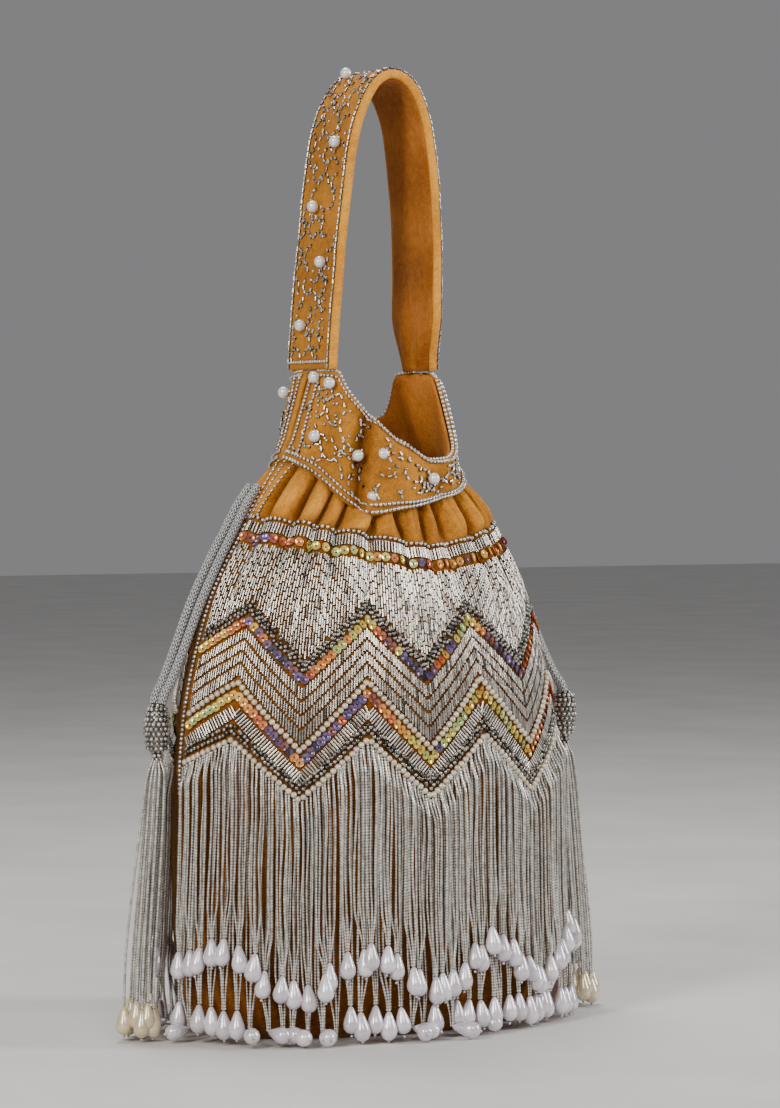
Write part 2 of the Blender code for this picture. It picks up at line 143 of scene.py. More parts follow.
def unit(v):
    return v / np.maximum(np.linalg.norm(v, axis=-1, keepdims=True), 1e-9)


def smoothstep(x, low=0.0, high=1.0):
    s = np.clip((np.asarray(x, float) - low) / (high - low), 0, 1)
    return s * s * (3 - 2 * s)


pouch_axes = curve(POUCH)
bead_top_line = {s: curve(BEAD_TOP[s]) for s in BEAD_TOP}
collar_low = {s: curve(COLLAR_LOW[s]) for s in COLLAR_LOW}
collar_top = {s: curve(COLLAR_TOP[s]) for s in COLLAR_TOP}
_angle = np.linspace(0, math.pi, 721)
_girth = np.concatenate([[0], np.cumsum(np.hypot(*np.diff([90 * np.cos(_angle), 54 * np.sin(_angle)])))])


def oval(t, a, b, side, off=0.0, power=2.0):
    angle = math.pi - np.interp(t, _girth / _girth[-1], _angle)
    c, s = np.cos(angle), np.abs(np.sin(angle))
    x = a * np.sign(c) * np.abs(c) ** (2 / power)
    y = b * s ** (2 / power)
    n = unit(np.stack([b * np.sign(c) * np.abs(c) ** (2 - 2 / power), a * s ** (2 - 2 / power)], axis=-1))
    return x + off * n[..., 0], side * (y + off * n[..., 1])


def pleats(seed, mean=0.083, wander=0.45):
    """Knots of a run of uneven gathers along t at its foot and its head, and the gathers' depths."""
    r = np.random.default_rng(seed)
    knots = [-0.03]
    while knots[-1] < 1.03:
        knots.append(knots[-1] + mean * r.uniform(0.62, 1.45))
    knots = np.array(knots)
    shift = r.uniform(-wander, wander, len(knots)) * mean
    return knots, knots + shift, r.uniform(0.5, 1.3, len(knots)), r.uniform(1.7, 3.2, len(knots))


PLEATS = {FRONT: pleats(23), BACK: pleats(8)}
FINE_PLEATS = {FRONT: pleats(15, 0.03), BACK: pleats(18, 0.03)}


def fold(t, side, table=None, g=0.0):
    """Height of the gathers at t: 1 on a crest, 0 in a crease; g is the height's share of the way up."""
    low, high, depth, sharp = (table or PLEATS)[side]
    t, g = np.broadcast_arrays(np.asarray(t, float), np.asarray(g, float))
    bent = np.sin(g * math.pi / 2)
    middle = low + (high - low) * 0.5
    k = np.clip(np.searchsorted(middle, t) - 1, 1, len(low) - 3)
    for _ in range(2):
        start = low[k] + (high[k] - low[k]) * bent
        end = low[k + 1] + (high[k + 1] - low[k + 1]) * bent
        k = np.clip(k + (t > end) * 1 - (t < start) * 1, 0, len(low) - 2)
    start = low[k] + (high[k] - low[k]) * bent
    end = low[k + 1] + (high[k + 1] - low[k + 1]) * bent
    f = np.clip((t - start) / (end - start), 0, 1)
    return depth[k] * (1 - np.abs(2 * f - 1) ** sharp[k])


def edge_fade(t):
    return smoothstep(t, 0, 0.045) * smoothstep(1 - t, 0, 0.045)


def bead_top(t, side):
    return bead_top_line[side](t) + 2.0 * (fold(t, side) - 0.6) * edge_fade(t)


def skin(t, z, side, off=0.0):
    """Outer face of the beaded velvet, which still ripples below the gathers."""
    t, z = np.broadcast_arrays(np.asarray(t, float), np.asarray(z, float))
    axes = pouch_axes(np.minimum(z, 219).ravel()).reshape(t.shape + (2,))
    ripple = 3.4 * (fold(t, side) - 0.6) * edge_fade(t) * smoothstep(z, 158, 216) ** 1.2
    if side == FRONT:
        ripple = ripple - smoothstep(z, 150, 212) * (2.6 * np.exp(-(((t - 0.4) / 0.03) ** 2))
                                                     + 2.2 * np.exp(-(((t - 0.63) / 0.03) ** 2)))
    x, y = oval(t, axes[..., 0], axes[..., 1], side, off + ripple)
    return np.stack([x, y, z], axis=-1)


def plumb(t, z_from, side, off):
    """Where a string hangs that leaves the pouch at height z_from and falls straight down."""
    axes = pouch_axes(np.minimum(z_from, 105))
    x, y = oval(t, axes[..., 0], axes[..., 1], side, off)
    return x, y


def frame_on(t, z, side, surface=None):
    """Point, outward normal, sideways and upward directions at places on a surface of (t, z)."""
    surface = surface or skin
    p = surface(t, z, side)
    dt = surface(np.minimum(t + 0.002, 1), z, side) - surface(np.maximum(t - 0.002, 0), z, side)
    dz = surface(t, z + 0.4, side) - surface(t, z - 0.4, side)
    across, up = unit(dt), unit(dz)
    n = unit(np.cross(across, up) * -side)
    return p, n, np.cross(up, n), up


def collar(t, h, side, off=0.0):
    """Outer face of the collar: h runs from 0 at its foot to 1 at its rim."""
    t, h = np.broadcast_arrays(np.asarray(t, float), np.asarray(h, float))
    low, top = collar_low[side](t.ravel()).reshape(t.shape), collar_top[side](t.ravel()).reshape(t.shape)
    z = low + h * (top - low)
    reach = np.clip((z - 222) / 58, 0, 1)
    a = COLLAR_FOOT[0] + (COLLAR_RIM[0] - COLLAR_FOOT[0]) * reach**0.9
    b = COLLAR_FOOT[1] + (COLLAR_RIM[1] - COLLAR_FOOT[1]) * reach
    bulge = np.sin(np.pi * np.clip(h, 0, 1))
    off = off + 0.8 * np.sin(9 * t * math.pi + 2.5 * h + side) * bulge * edge_fade(t)
    off = off + 1.4 * (1 - smoothstep(h, 0, 0.3)) + 1.6 * (1 - h) * (1 - edge_fade(t))
    if side == FRONT:
        crease = 0.335 + 0.085 * h
        wide = np.sin(math.pi * np.clip(0.13 + 0.76 * h, 0, 1))
        lobe = smoothstep(t - crease, -0.012, 0.016) * np.exp(-((np.maximum(t - crease - 0.05, 0) / 0.17) ** 2))
        dip = np.exp(-((np.minimum(t - crease, 0) / 0.06) ** 2)) * (1 - smoothstep(t - crease, -0.012, 0.016))
        off = off + wide * (6.2 * lobe - 4.6 * dip)
        off = off + 2.2 * np.exp(-(((t - 0.74) / 0.1) ** 2)) * h - 1.2 * np.exp(-(((t - 0.66) / 0.03) ** 2)) * bulge
    else:
        off = off + bulge * (2.2 * np.exp(-(((t - 0.6) / 0.14) ** 2)) - 2.6 * np.exp(-(((t - 0.36) / 0.05) ** 2)))
    x, y = oval(t, a, b, side, off, 2 + 1.7 * reach)
    return np.stack([x, y, z], axis=-1)


def gathers(t, g, side, off=0.0):
    """The plain gathered velvet: g runs from 0 at the beading to 1 under the collar's foot."""
    t, g = np.broadcast_arrays(np.asarray(t, float), np.asarray(g, float))
    z0, z1 = bead_top(t, side), collar_low[side](t.ravel()).reshape(t.shape) + 3.0
    lower = skin(t, z0, side, off)
    upper = collar(t, 0.0, side, off - 3.4)
    deep = 3.4 * (1 - g) ** 2 + 7.5 * np.sin(math.pi * np.clip(g, 0, 1) ** 0.8) + 2.0 * g
    rise = deep * (fold(t, side, g=g) - 0.62) - 3.4 * (1 - g) ** 2 * (fold(t, side) - 0.6)
    small = fold(t + 0.01 * g, side, FINE_PLEATS, g) - 0.5
    rise = rise + small * (0.5 + 1.5 * g) * np.sin(math.pi * np.clip(g * 1.05, 0, 1))
    puff = (1.2 * np.sin(math.pi * g) + rise) * edge_fade(t)
    p = lower + (upper - lower) * g[..., None]
    out = unit(np.stack([p[..., 0] / 46**2, p[..., 1] / 32**2], axis=-1))
    droop = -1.8 * np.sin(math.pi * g) * np.clip(rise / 4, -0.5, 1) * edge_fade(t)
    return np.stack([p[..., 0] + out[..., 0] * puff, p[..., 1] + out[..., 1] * puff, z0 + g * (z1 - z0) + droop],
                    axis=-1)


def zigzag(t, key, up=0.0):
    at_seam, at_peak, at_valley = ZIGZAG[key] if isinstance(key, str) else key
    heights = [at_peak if k % 2 else at_valley for k in range(9)]
    heights[0] = heights[-1] = at_seam
    return np.interp(t, np.arange(9) / 8, heights) + up


# ---------------------------------------------------------------- mesh building
def make(name, points, polys, mat, tone=None, smooth=True, body="pouch", slot=None, attributes=None):
    """One mesh piece from points in millimetres and arrays of polygons of equal length."""
    mesh = bpy.data.meshes.new(name)
    points = np.asarray(points, float).reshape(-1, 3)
    mesh.vertices.add(len(points))
    mesh.vertices.foreach_set("co", (points * MM).astype(np.float32).ravel())
    loops = np.concatenate([np.asarray(p, np.int32).ravel() for p in polys])
    sizes = np.concatenate([np.full(len(p), np.shape(p)[1]) for p in polys])
    mesh.loops.add(len(loops))
    mesh.loops.foreach_set("vertex_index", loops)
    mesh.polygons.add(len(sizes))
    mesh.polygons.foreach_set("loop_start", np.concatenate([[0], np.cumsum(sizes)[:-1]]).astype(np.int32))
    mesh.update(calc_edges=True)
    mesh.polygons.foreach_set("use_smooth", np.full(len(sizes), smooth))
    values = dict(attributes or {})
    if tone is not None:
        values["tone"] = tone
    for key, value in values.items():
        layer = mesh.attributes.new(key, "FLOAT", "POINT")
        layer.data.foreach_set("value", np.asarray(value, np.float32).ravel())
    mesh.validate()
    mesh.materials.append(mat)
    ob = bpy.data.objects.new(name, mesh)
    scene.collection.objects.link(ob)
    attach(ob, body)
    return ob


def grid_faces(rows, cols, ring=False, flip=False, start=0):
    r, c = np.meshgrid(np.arange(rows - 1), np.arange(cols if ring else cols - 1), indexing="ij")
    d = (c + 1) % cols
    f = np.stack([r * cols + c, r * cols + d, (r + 1) * cols + d, (r + 1) * cols + c], axis=-1).reshape(-1, 4)
    return (f[:, ::-1] if flip else f) + start


def shell(name, outer, inner, mat, flip=False, ring=False, **more):
    """Closed sheet between two grids of points."""
    rows, cols = outer.shape[:2]
    half = rows * cols
    faces = [grid_faces(rows, cols, ring, flip), grid_faces(rows, cols, ring, not flip, half)]
    c = np.arange(cols if ring else cols - 1)
    d, top = (c + 1) % cols, (rows - 1) * cols
    low = np.stack([c, half + c, half + d, d], axis=-1)
    high = np.stack([top + c, top + d, half + top + d, half + top + c], axis=-1)
    sides = [low, high]
    if not ring:
        r = np.arange(rows - 1) * cols
        sides.append(np.stack([r, r + cols, half + r + cols, half + r], axis=-1))
        sides.append(np.stack([r, half + r, half + r + cols, r + cols], axis=-1) + cols - 1)
    faces += [s[:, ::-1] if flip else s for s in sides]
    tone = more.pop("tone", None)
    if tone is not None:
        more["tone"] = np.concatenate([np.ravel(tone), np.ravel(tone)])
    return make(name, np.concatenate([outer.reshape(-1, 3), inner.reshape(-1, 3)]), faces, mat, **more)


def ball(sides, rings, pole_shade=0.0):
    """A unit ball whose poles are darkened with painted shade, for the thread hole and the gaps where neighbouring
    beads meet: points, quads, triangles, shade.
    """
    lat = np.linspace(-90, 90, rings + 1)[1:-1]
    lon = np.arange(sides) * 2 * math.pi / sides
    p = [(0, 0, -1)]
    for a in np.radians(lat):
        p += [(math.cos(a) * math.cos(b), math.cos(a) * math.sin(b), math.sin(a)) for b in lon]
    p.append((0, 0, 1))
    k, n = np.arange(sides), (np.arange(sides) + 1) % sides
    quads = [np.stack([1 + r * sides + k, 1 + r * sides + n, 1 + (r + 1) * sides + n, 1 + (r + 1) * sides + k],
                      axis=-1) for r in range(rings - 2)]
    end = len(p) - 1
    base = 1 + (rings - 2) * sides
    tris = [np.stack([0 * k, 1 + n, 1 + k], axis=-1), np.stack([0 * k + end, base + k, base + n], axis=-1)]
    p = np.array(p)
    quads = np.concatenate(quads) if quads else np.zeros((0, 4), int)
    # painted shade, darkest at the poles
    return p, quads, np.concatenate(tris), 1 - pole_shade * np.abs(p[:, 2]) ** 3


def lathe(profile, sides):
    """Turned shape round z: rows of (radius, z); a zero radius closes an end."""
    points, rings = [], []
    for r, z in profile:
        rings.append(len(points))
        if r == 0:
            points.append((0, 0, z))
        else:
            points += [(r * math.cos(a), r * math.sin(a), z) for a in np.arange(sides) * 2 * math.pi / sides]
    k, n = np.arange(sides), (np.arange(sides) + 1) % sides
    quads, tris = [], []
    for i in range(len(profile) - 1):
        a, b = rings[i], rings[i + 1]
        if profile[i][0] == 0:
            tris.append(np.stack([a + 0 * k, b + n, b + k], axis=-1))
        elif profile[i + 1][0] == 0:
            tris.append(np.stack([a + k, a + n, b + 0 * k], axis=-1))
        else:
            quads.append(np.stack([a + k, a + n, b + n, b + k], axis=-1))
    empty = np.zeros((0, 4), int)
    return (np.array(points, float), np.concatenate(quads) if quads else empty,
            np.concatenate(tris) if tris else empty[:, :3], np.ones(len(points)))


def tube_template(sides=6):
    """Open glass tube, unit radius, from -0.5 to 0.5 along y, with painted shade: light on its top, dark on its
    underside and lower flanks, as shade between neighbouring tubes.
    """
    a = np.arange(sides) * 2 * math.pi / sides + math.pi / 2
    p = [(math.cos(b), y, math.sin(b)) for y in (-0.5, 0.5) for b in a]
    k, n = np.arange(sides), (np.arange(sides) + 1) % sides
    p = np.array(p)
    # painted shade from the tube's top down to its underside
    return p, np.stack([k, sides + k, sides + n, n], axis=-1), np.zeros((0, 3), int), np.interp(
        p[:, 2], [-1, -0.4, 0.5, 1], [0.05, 0.1, 0.72, 1.0])


BALL, SEED, PEARL = ball(16, 10), ball(6, 4, 0.85), ball(8, 6, 0.3)
TUBE = tube_template()
CUP = lathe([(0.17, 0.0), (0.27, 0.05), (0.88, 0.08), (1.0, 0.2)], 12)
# painted shade on each sequin: nearly black round its hole, darker at the rim where the next sequin overlaps
CUP = (*CUP[:3], np.repeat([0.03, 0.9, 1.0, 0.62], 12))
TEAR = [(0.10, 0.0), (0.30, -0.045), (0.47, -0.16), (0.70, -0.34), (0.90, -0.50), (1.0, -0.66), (0.93, -0.80),
        (0.70, -0.915), (0.38, -0.98), (0, -1.0)]
DROP = lathe([(r * DROP_R, z * DROP_LONG) for r, z in TEAR[::-1]], 11)


class Beads:
    """Collects copies of small templates and makes them one piece."""

    def __init__(self):
        self.points, self.quads, self.tris, self.tone, self.shade, self.count = [], [], [], [], [], 0

    def add(self, template, at, x, y, z, size, tone):
        v, quads, tris, shade = template
        at, x, y, z = (np.broadcast_to(np.asarray(a, float), (len(at), 3)) for a in (at, x, y, z))
        size = np.broadcast_to(np.asarray(size, float), (len(at), 3))
        tone = np.broadcast_to(np.asarray(tone, float), (len(at),))
        p = at[:, None] + sum(v[None, :, k:k + 1] * size[:, None, k:k + 1] * axis[:, None]
                              for k, axis in enumerate((x, y, z)))
        start = self.count + np.arange(len(at)) * len(v)
        for faces, keep in ((quads, self.quads), (tris, self.tris)):
            if len(faces):
                keep.append((faces[None] + start[:, None, None]).reshape(-1, faces.shape[1]))
        self.points.append(p.reshape(-1, 3))
        self.tone.append(np.repeat(tone, len(v)))
        self.shade.append(np.tile(shade, len(at)))
        self.count += len(at) * len(v)

    def ready(self, name, mat, **more):
        polys = [np.concatenate(f) for f in (self.quads, self.tris) if f]
        return make(name, np.concatenate(self.points), polys, mat, tone=np.concatenate(self.tone),
                    attributes={"shade": np.concatenate(self.shade)}, **more)


# ---------------------------------------------------------------- materials
def nodes_of(name):
    m = bpy.data.materials.new(name)
    m.use_nodes = True
    tree = m.node_tree
    return m, tree, tree.nodes["Principled BSDF"]


def node(tree, kind, inputs=(), **props):
    n = tree.nodes.new(kind)
    for k, v in props.items():
        setattr(n, k, v)
    for k, v in dict(inputs).items():
        if isinstance(v, bpy.types.NodeSocket):
            tree.links.new(v, n.inputs[k])
        else:
            n.inputs[k].default_value = v
    return n


def ramp(tree, fac, stops):
    n = node(tree, "ShaderNodeValToRGB", {"Fac": fac})
    while len(n.color_ramp.elements) < len(stops):
        n.color_ramp.elements.new(0.5)
    for e, (at, colour) in zip(n.color_ramp.elements, stops):
        e.position, e.color = at, (*colour, 1)
    return n.outputs["Color"]


def noise(tree, scale, detail=3.0, rough=0.55):
    place = node(tree, "ShaderNodeTexCoord")
    return node(tree, "ShaderNodeTexNoise", {"Vector": place.outputs["Object"], "Scale": scale, "Detail": detail,
                                             "Roughness": rough}).outputs["Fac"]


def bump(tree, shader, height, strength, distance):
    n = node(tree, "ShaderNodeBump", {"Height": height, "Strength": strength, "Distance": distance})
    tree.links.new(n.outputs["Normal"], shader.inputs["Normal"])


def mix(tree, fac, a, b, mode="MIX"):
    n = node(tree, "ShaderNodeMix", data_type="RGBA", blend_type=mode)
    for index, value in ((0, fac), (6, a), (7, b)):
        if isinstance(value, bpy.types.NodeSocket):
            tree.links.new(value, n.inputs[index])
        else:
            n.inputs[index].default_value = value if index == 0 else (*value, 1)
    return n.outputs[2]


def maths(tree, operation, a, b=0.0, c=0.0):
    n = node(tree, "ShaderNodeMath", operation=operation)
    for k, v in enumerate((a, b, c)):
        if isinstance(v, bpy.types.NodeSocket):
            tree.links.new(v, n.inputs[k])
        else:
            n.inputs[k].default_value = v
    return n.outputs[0]


# Velvet colour: a ramp from the colour in shadow (deep) to the lit colour and a brighter painted highlight, driven by
# painted light and shade in tone and by the velvet's own mottling and pile.
def velvet(name, deep, lit, sheen=0.5):
    m, tree, s = nodes_of(name)
    blotch = noise(tree, 42, 4, 0.6)
    pile = noise(tree, 1500, 3, 0.75)
    crush = noise(tree, 330, 5, 0.7)
    # tone carries painted light and shade: darker under the beading and in creases, lighter on fold crests
    depth = node(tree, "ShaderNodeAttribute", attribute_name="tone").outputs["Fac"]
    shade = maths(tree, "ADD", maths(tree, "MULTIPLY", blotch, 0.3), maths(tree, "MULTIPLY", depth, 0.85))
    shade = maths(tree, "ADD", shade, maths(tree, "MULTIPLY", maths(tree, "SUBTRACT", crush, 0.5), 0.55))
    shade = maths(tree, "ADD", shade, maths(tree, "MULTIPLY", maths(tree, "SUBTRACT", pile, 0.5), 0.75))
    mid = tuple(0.5 * (a + b) for a, b in zip(deep, lit))
    bright = (min(1, lit[0] * 1.35), min(1, lit[1] * 1.5), lit[2] * 1.7)
    colour = ramp(tree, shade, [(0.05, tuple(0.4 * c for c in deep)), (0.3, deep), (0.58, mid), (0.82, lit),
                                (1.0, bright)])
    tree.links.new(colour, s.inputs["Base Color"])
    rough = maths(tree, "ADD", maths(tree, "MULTIPLY", pile, 0.2), 0.72)
    tree.links.new(rough, s.inputs["Roughness"])
    s.inputs["Sheen Weight"].default_value = sheen
    s.inputs["Sheen Roughness"].default_value = 0.3
    s.inputs["Sheen Tint"].default_value = (1.0, 0.66, 0.28, 1)
    s.inputs["Specular IOR Level"].default_value = 0.12
    height = maths(tree, "ADD", maths(tree, "MULTIPLY", pile, 0.6), crush)
    bump(tree, s, height, 0.8, 0.0007)
    return m


def shaded(tree, colour):
    """The colour, darkened by the painted shade stored in the piece's shade attribute."""
    shade = node(tree, "ShaderNodeAttribute", attribute_name="shade").outputs["Fac"]
    grey = node(tree, "ShaderNodeCombineColor", {"Red": shade, "Green": shade, "Blue": shade}).outputs["Color"]
    return mix(tree, 1.0, colour, grey, "MULTIPLY")


def glassy(name, dark, light, metallic, rough, grain=700.0, spread=1.0):
    """Silver-lined glass: tone runs from a dark bead to a bright one."""
    m, tree, s = nodes_of(name)
    tone = node(tree, "ShaderNodeAttribute", attribute_name="tone").outputs["Fac"]
    fine = noise(tree, grain, 2, 0.6)
    shade = maths(tree, "ADD", maths(tree, "MULTIPLY", tone, spread),
                  maths(tree, "MULTIPLY", maths(tree, "SUBTRACT", fine, 0.5), 0.5))
    colour = ramp(tree, shade, [(0.0, dark), (0.5, tuple(0.5 * a + 0.5 * b for a, b in zip(light, dark))),
                                (1.0, light)])
    tree.links.new(shaded(tree, colour), s.inputs["Base Color"])
    tree.links.new(maths(tree, "ADD", maths(tree, "MULTIPLY", fine, 0.2), rough), s.inputs["Roughness"])
    s.inputs["Metallic"].default_value = metallic
    bump(tree, s, fine, 0.2, 0.0003)
    return m


def pearly(name, low, high, rough=0.2):
    m, tree, s = nodes_of(name)
    tone = node(tree, "ShaderNodeAttribute", attribute_name="tone").outputs["Fac"]
    cloud = noise(tree, 160, 3, 0.5)
    shade = maths(tree, "ADD", maths(tree, "MULTIPLY", tone, 0.7), maths(tree, "MULTIPLY", cloud, 0.4))
    tree.links.new(shaded(tree, ramp(tree, shade, [(0.15, low), (0.9, high)])), s.inputs["Base Color"])
    tree.links.new(maths(tree, "ADD", maths(tree, "MULTIPLY", cloud, 0.12), rough), s.inputs["Roughness"])
    s.inputs["Metallic"].default_value = 0.25
    s.inputs["Coat Weight"].default_value = 0.8
    s.inputs["Coat Roughness"].default_value = 0.1
    s.inputs["Specular IOR Level"].default_value = 0.6
    bump(tree, s, cloud, 0.05, 0.0004)
    return m


def sequin_look():
    m, tree, s = nodes_of("iridescent_sequin")
    tone = node(tree, "ShaderNodeAttribute", attribute_name="tone").outputs["Fac"]
    film = noise(tree, 420, 2, 0.5)
    shade = maths(tree, "ADD", tone, maths(tree, "MULTIPLY", maths(tree, "SUBTRACT", film, 0.5), 0.16))
    # The ramp paints the sequins' reflection: dark purples and greys for stretches turned from the light, oranges,
    # golds and greens where they catch it.
    stops = [(0.0, (0.085, 0.07, 0.095)), (0.14, (0.24, 0.19, 0.42)), (0.25, (0.22, 0.12, 0.13)),
             (0.38, (0.66, 0.17, 0.08)), (0.54, (0.93, 0.34, 0.13)), (0.70, (0.95, 0.55, 0.12)),
             (0.86, (0.90, 0.80, 0.20)), (1.0, (0.62, 0.76, 0.34))]
    tree.links.new(shaded(tree, ramp(tree, shade, stops)), s.inputs["Base Color"])
    tree.links.new(maths(tree, "ADD", maths(tree, "MULTIPLY", film, 0.15), 0.14), s.inputs["Roughness"])
    s.inputs["Metallic"].default_value = 0.55
    bump(tree, s, film, 0.12, 0.0003)
    return m


def cord_look():
    """Braid: lines of equal along + half of weave run in rows of V shapes round the cord; the colour paints shade in
    the grooves between strands, light on their tops, and glints.
    """
    m, tree, s = nodes_of("silver_cord")
    along = node(tree, "ShaderNodeAttribute", attribute_name="along").outputs["Fac"]
    weave = node(tree, "ShaderNodeAttribute", attribute_name="weave").outputs["Fac"]
    glint = noise(tree, 1500, 2, 0.7)
    row = maths(tree, "FRACT", maths(tree, "ADD", maths(tree, "MULTIPLY", along, 0.55),
                                     maths(tree, "MULTIPLY", weave, 0.9)))
    round_row = maths(tree, "SINE", maths(tree, "MULTIPLY", row, math.pi))
    middle = maths(tree, "SINE", maths(tree, "MULTIPLY", weave, math.pi))
    height = maths(tree, "MULTIPLY", round_row, maths(tree, "ADD", maths(tree, "MULTIPLY", middle, 0.65), 0.35))
    # painted shade and highlight: dark between the strands, bright on their ridges, with painted glints
    shade = maths(tree, "ADD", maths(tree, "MULTIPLY", height, 0.8), maths(tree, "MULTIPLY", glint, 0.35))
    tree.links.new(ramp(tree, shade, [(0.28, (0.02, 0.02, 0.024)), (0.5, (0.22, 0.22, 0.215)),
                                      (0.9, (0.85, 0.85, 0.83))]), s.inputs["Base Color"])
    tree.links.new(maths(tree, "ADD", maths(tree, "MULTIPLY", glint, 0.3), 0.35), s.inputs["Roughness"])
    s.inputs["Metallic"].default_value = 0.35
    bump(tree, s, height, 0.9, 0.0004)
    return m


VELVET = velvet("mustard_velvet", (0.20, 0.062, 0.006), (0.60, 0.245, 0.028), 0.32)
PLAIN = velvet("plain_velvet", (0.22, 0.066, 0.008), (0.60, 0.21, 0.03), 0.3)
LINING = velvet("lining_cloth", (0.20, 0.06, 0.01), (0.42, 0.16, 0.03), 0.1)
BUGLE = glassy("silver_bugles", (0.10, 0.075, 0.05), (0.86, 0.79, 0.69), 0.85, 0.13)
SILVER = glassy("silver_seeds", (0.12, 0.105, 0.085), (0.84, 0.80, 0.74), 0.8, 0.15)
DARK = glassy("dark_seeds", (0.04, 0.037, 0.03), (0.42, 0.39, 0.34), 0.85, 0.14)
STRING = glassy("bead_strings", (0.34, 0.30, 0.23), (1.0, 0.96, 0.88), 0.3, 0.14, 1100)
CREAM = pearly("cream_pearls", (0.42, 0.33, 0.23), (0.72, 0.63, 0.49))
WHITE = pearly("white_pearls", (0.48, 0.43, 0.47), (0.80, 0.74, 0.78))
ROUND = pearly("round_pearls", (0.50, 0.46, 0.43), (0.86, 0.82, 0.78))
IVORY = pearly("ivory_pearls", (0.48, 0.37, 0.21), (0.74, 0.63, 0.42))
SEQUIN = sequin_look()
CORD = cord_look()

# ---------------------------------------------------------------- drawcords, knobs and tassels
TASSEL_AXIS = curve([(0.0, 109.2, 5.0, 7.6), (30, 107.8, 4.8, 7.2), (60, 105.4, 4.6, 6.6), (90, 103, 4.4, 5.8),
                     (104, 102, 4.2, 5.0), (112, 101.3, 3.6, 4.2), (117.2, 101, 1.6, 1.6)])


def frames_along(line):
    """Tangents and two crosswise directions along a line that mostly falls."""
    tangent = unit(np.gradient(line, axis=0))
    first = unit(np.cross(tangent, np.array([0.0, 1.0, 0.0]) + 0 * tangent))
    return tangent, first, np.cross(tangent, first)


def string_mesh(line, bead, pitch, sides, turn, r):
    """Points, quads, tones and shade of a string of beads along a line: wide at each bead, narrow between, with painted
    shade on the narrow rings between beads.
    """
    along = np.concatenate([[0], np.cumsum(np.linalg.norm(np.diff(line, axis=0), axis=1))])
    count = max(4, int(round(along[-1] / pitch)) * 2 + 1)
    at = np.linspace(0, along[-1], count)
    p = np.stack([np.interp(at, along, line[:, k]) for k in range(3)], axis=1)
    _, a, b = frames_along(p)
    wide = np.arange(count) % 2 == 1
    radius = np.where(wide, bead * r.uniform(0.92, 1.1, count), bead * 0.6)
    angle = turn + np.arange(sides) * 2 * math.pi / sides
    ring = np.cos(angle)[None, :, None] * a[:, None] + np.sin(angle)[None, :, None] * b[:, None]
    points = p[:, None] + ring * radius[:, None, None]
    tone = np.repeat(np.interp(np.arange(count), np.arange(0, count, 2), r.uniform(0.3, 1.05, (count + 1) // 2)), sides)
    # painted shade: the narrow rings between beads are darker
    shade = np.repeat(np.where(wide, r.uniform(0.85, 1.0, count), 0.42), sides)
    return points.reshape(-1, 3), grid_faces(count, sides, ring=True, flip=True), tone, shade


def drawcord(tag, mirror, strand, way):
    line = spline(CORD_ROUTE, 60)
    share = np.linspace(0, 1, len(line))
    apart = 2.05 + (CORD_SPREAD - 2.05) * np.sin(math.pi * share)
    line = np.stack([mirror * (line[:, 0] - 0.4 * way * apart), line[:, 1] + way * apart, line[:, 2]], axis=1)
    fine = spline(line, 200)
    tangent, a, b = frames_along(fine)
    sides = 16
    angle = (np.arange(sides) + 0.5) * 2 * math.pi / sides
    ring = np.cos(angle)[None, :, None] * a[:, None] + np.sin(angle)[None, :, None] * b[:, None]
    weave = np.arange(sides) % 2
    along = np.concatenate([[0], np.cumsum(np.linalg.norm(np.diff(fine, axis=0), axis=1))])
    radius = CORD_D / 2 * (0.985 + 0.02 * np.sin(along * 1.7 + way))
    points = (fine[:, None] + ring * radius[:, None, None]).reshape(-1, 3)
    quads = grid_faces(len(fine), sides, ring=True, flip=mirror > 0)
    caps = [np.arange(sides)[None], (len(points) - 1 - np.arange(sides))[None]]
    ob = make(f"cord_{tag}_{strand}", points, [quads, *caps], CORD, body=f"{tag}_pull", slot="silver_cord",
              attributes={"weave": np.tile(weave, len(fine)), "along": np.repeat(along, sides)})
    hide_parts(f"drawcord_{tag}_{strand}")
    return ob, fine


def knob(tag, mirror, r):
    """A barrel covered with rows of seed beads, and the short neck below it."""
    beads = Beads()
    x = -mirror * 101
    rows = [(z, 4.95 * (1 - 0.28 * abs((z - 130.4) / 9) ** 3.5)) for z in np.linspace(138.7, 122.2, 9)]
    rows += [(140.0, 2.6), (121.0, 2.4), (119.2, 1.9), (117.5, 1.8)]
    for k, (z, radius) in enumerate(rows):
        count = max(6, int(2 * math.pi * radius / 1.95))
        a = (np.arange(count) + 0.5 * (k % 2)) * 2 * math.pi / count + r.normal(0, 0.02, count)
        out = np.stack([np.cos(a), np.sin(a), 0 * a], axis=1)
        at = out * (radius + r.normal(0, 0.07, (count, 1))) + [x, 0, z]
        beads.add(SEED, at, out, [0, 0, 1.0], np.cross([0, 0, 1.0], out), (0.95, 0.98, 0.98), r.uniform(0.2, 1.0, count))
    core = lathe([(0, 116.9), (1.3, 117), (1.6, 120.5), (3.6, 121.5), (4.3, 124), (4.5, 131), (4.2, 137), (3.0, 139.3),
                  (0, 139.6)], 16)
    beads.add(core, np.array([[x, 0, 0]]), [1, 0, 0], [0, 1, 0], [0, 0, 1], 1.0, 0.1)
    ob = beads.ready(f"beaded_knob_{tag}", SILVER, body=f"{tag}_pull", slot="silver_seed_beads")
    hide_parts(f"knob_{tag}")
    return ob


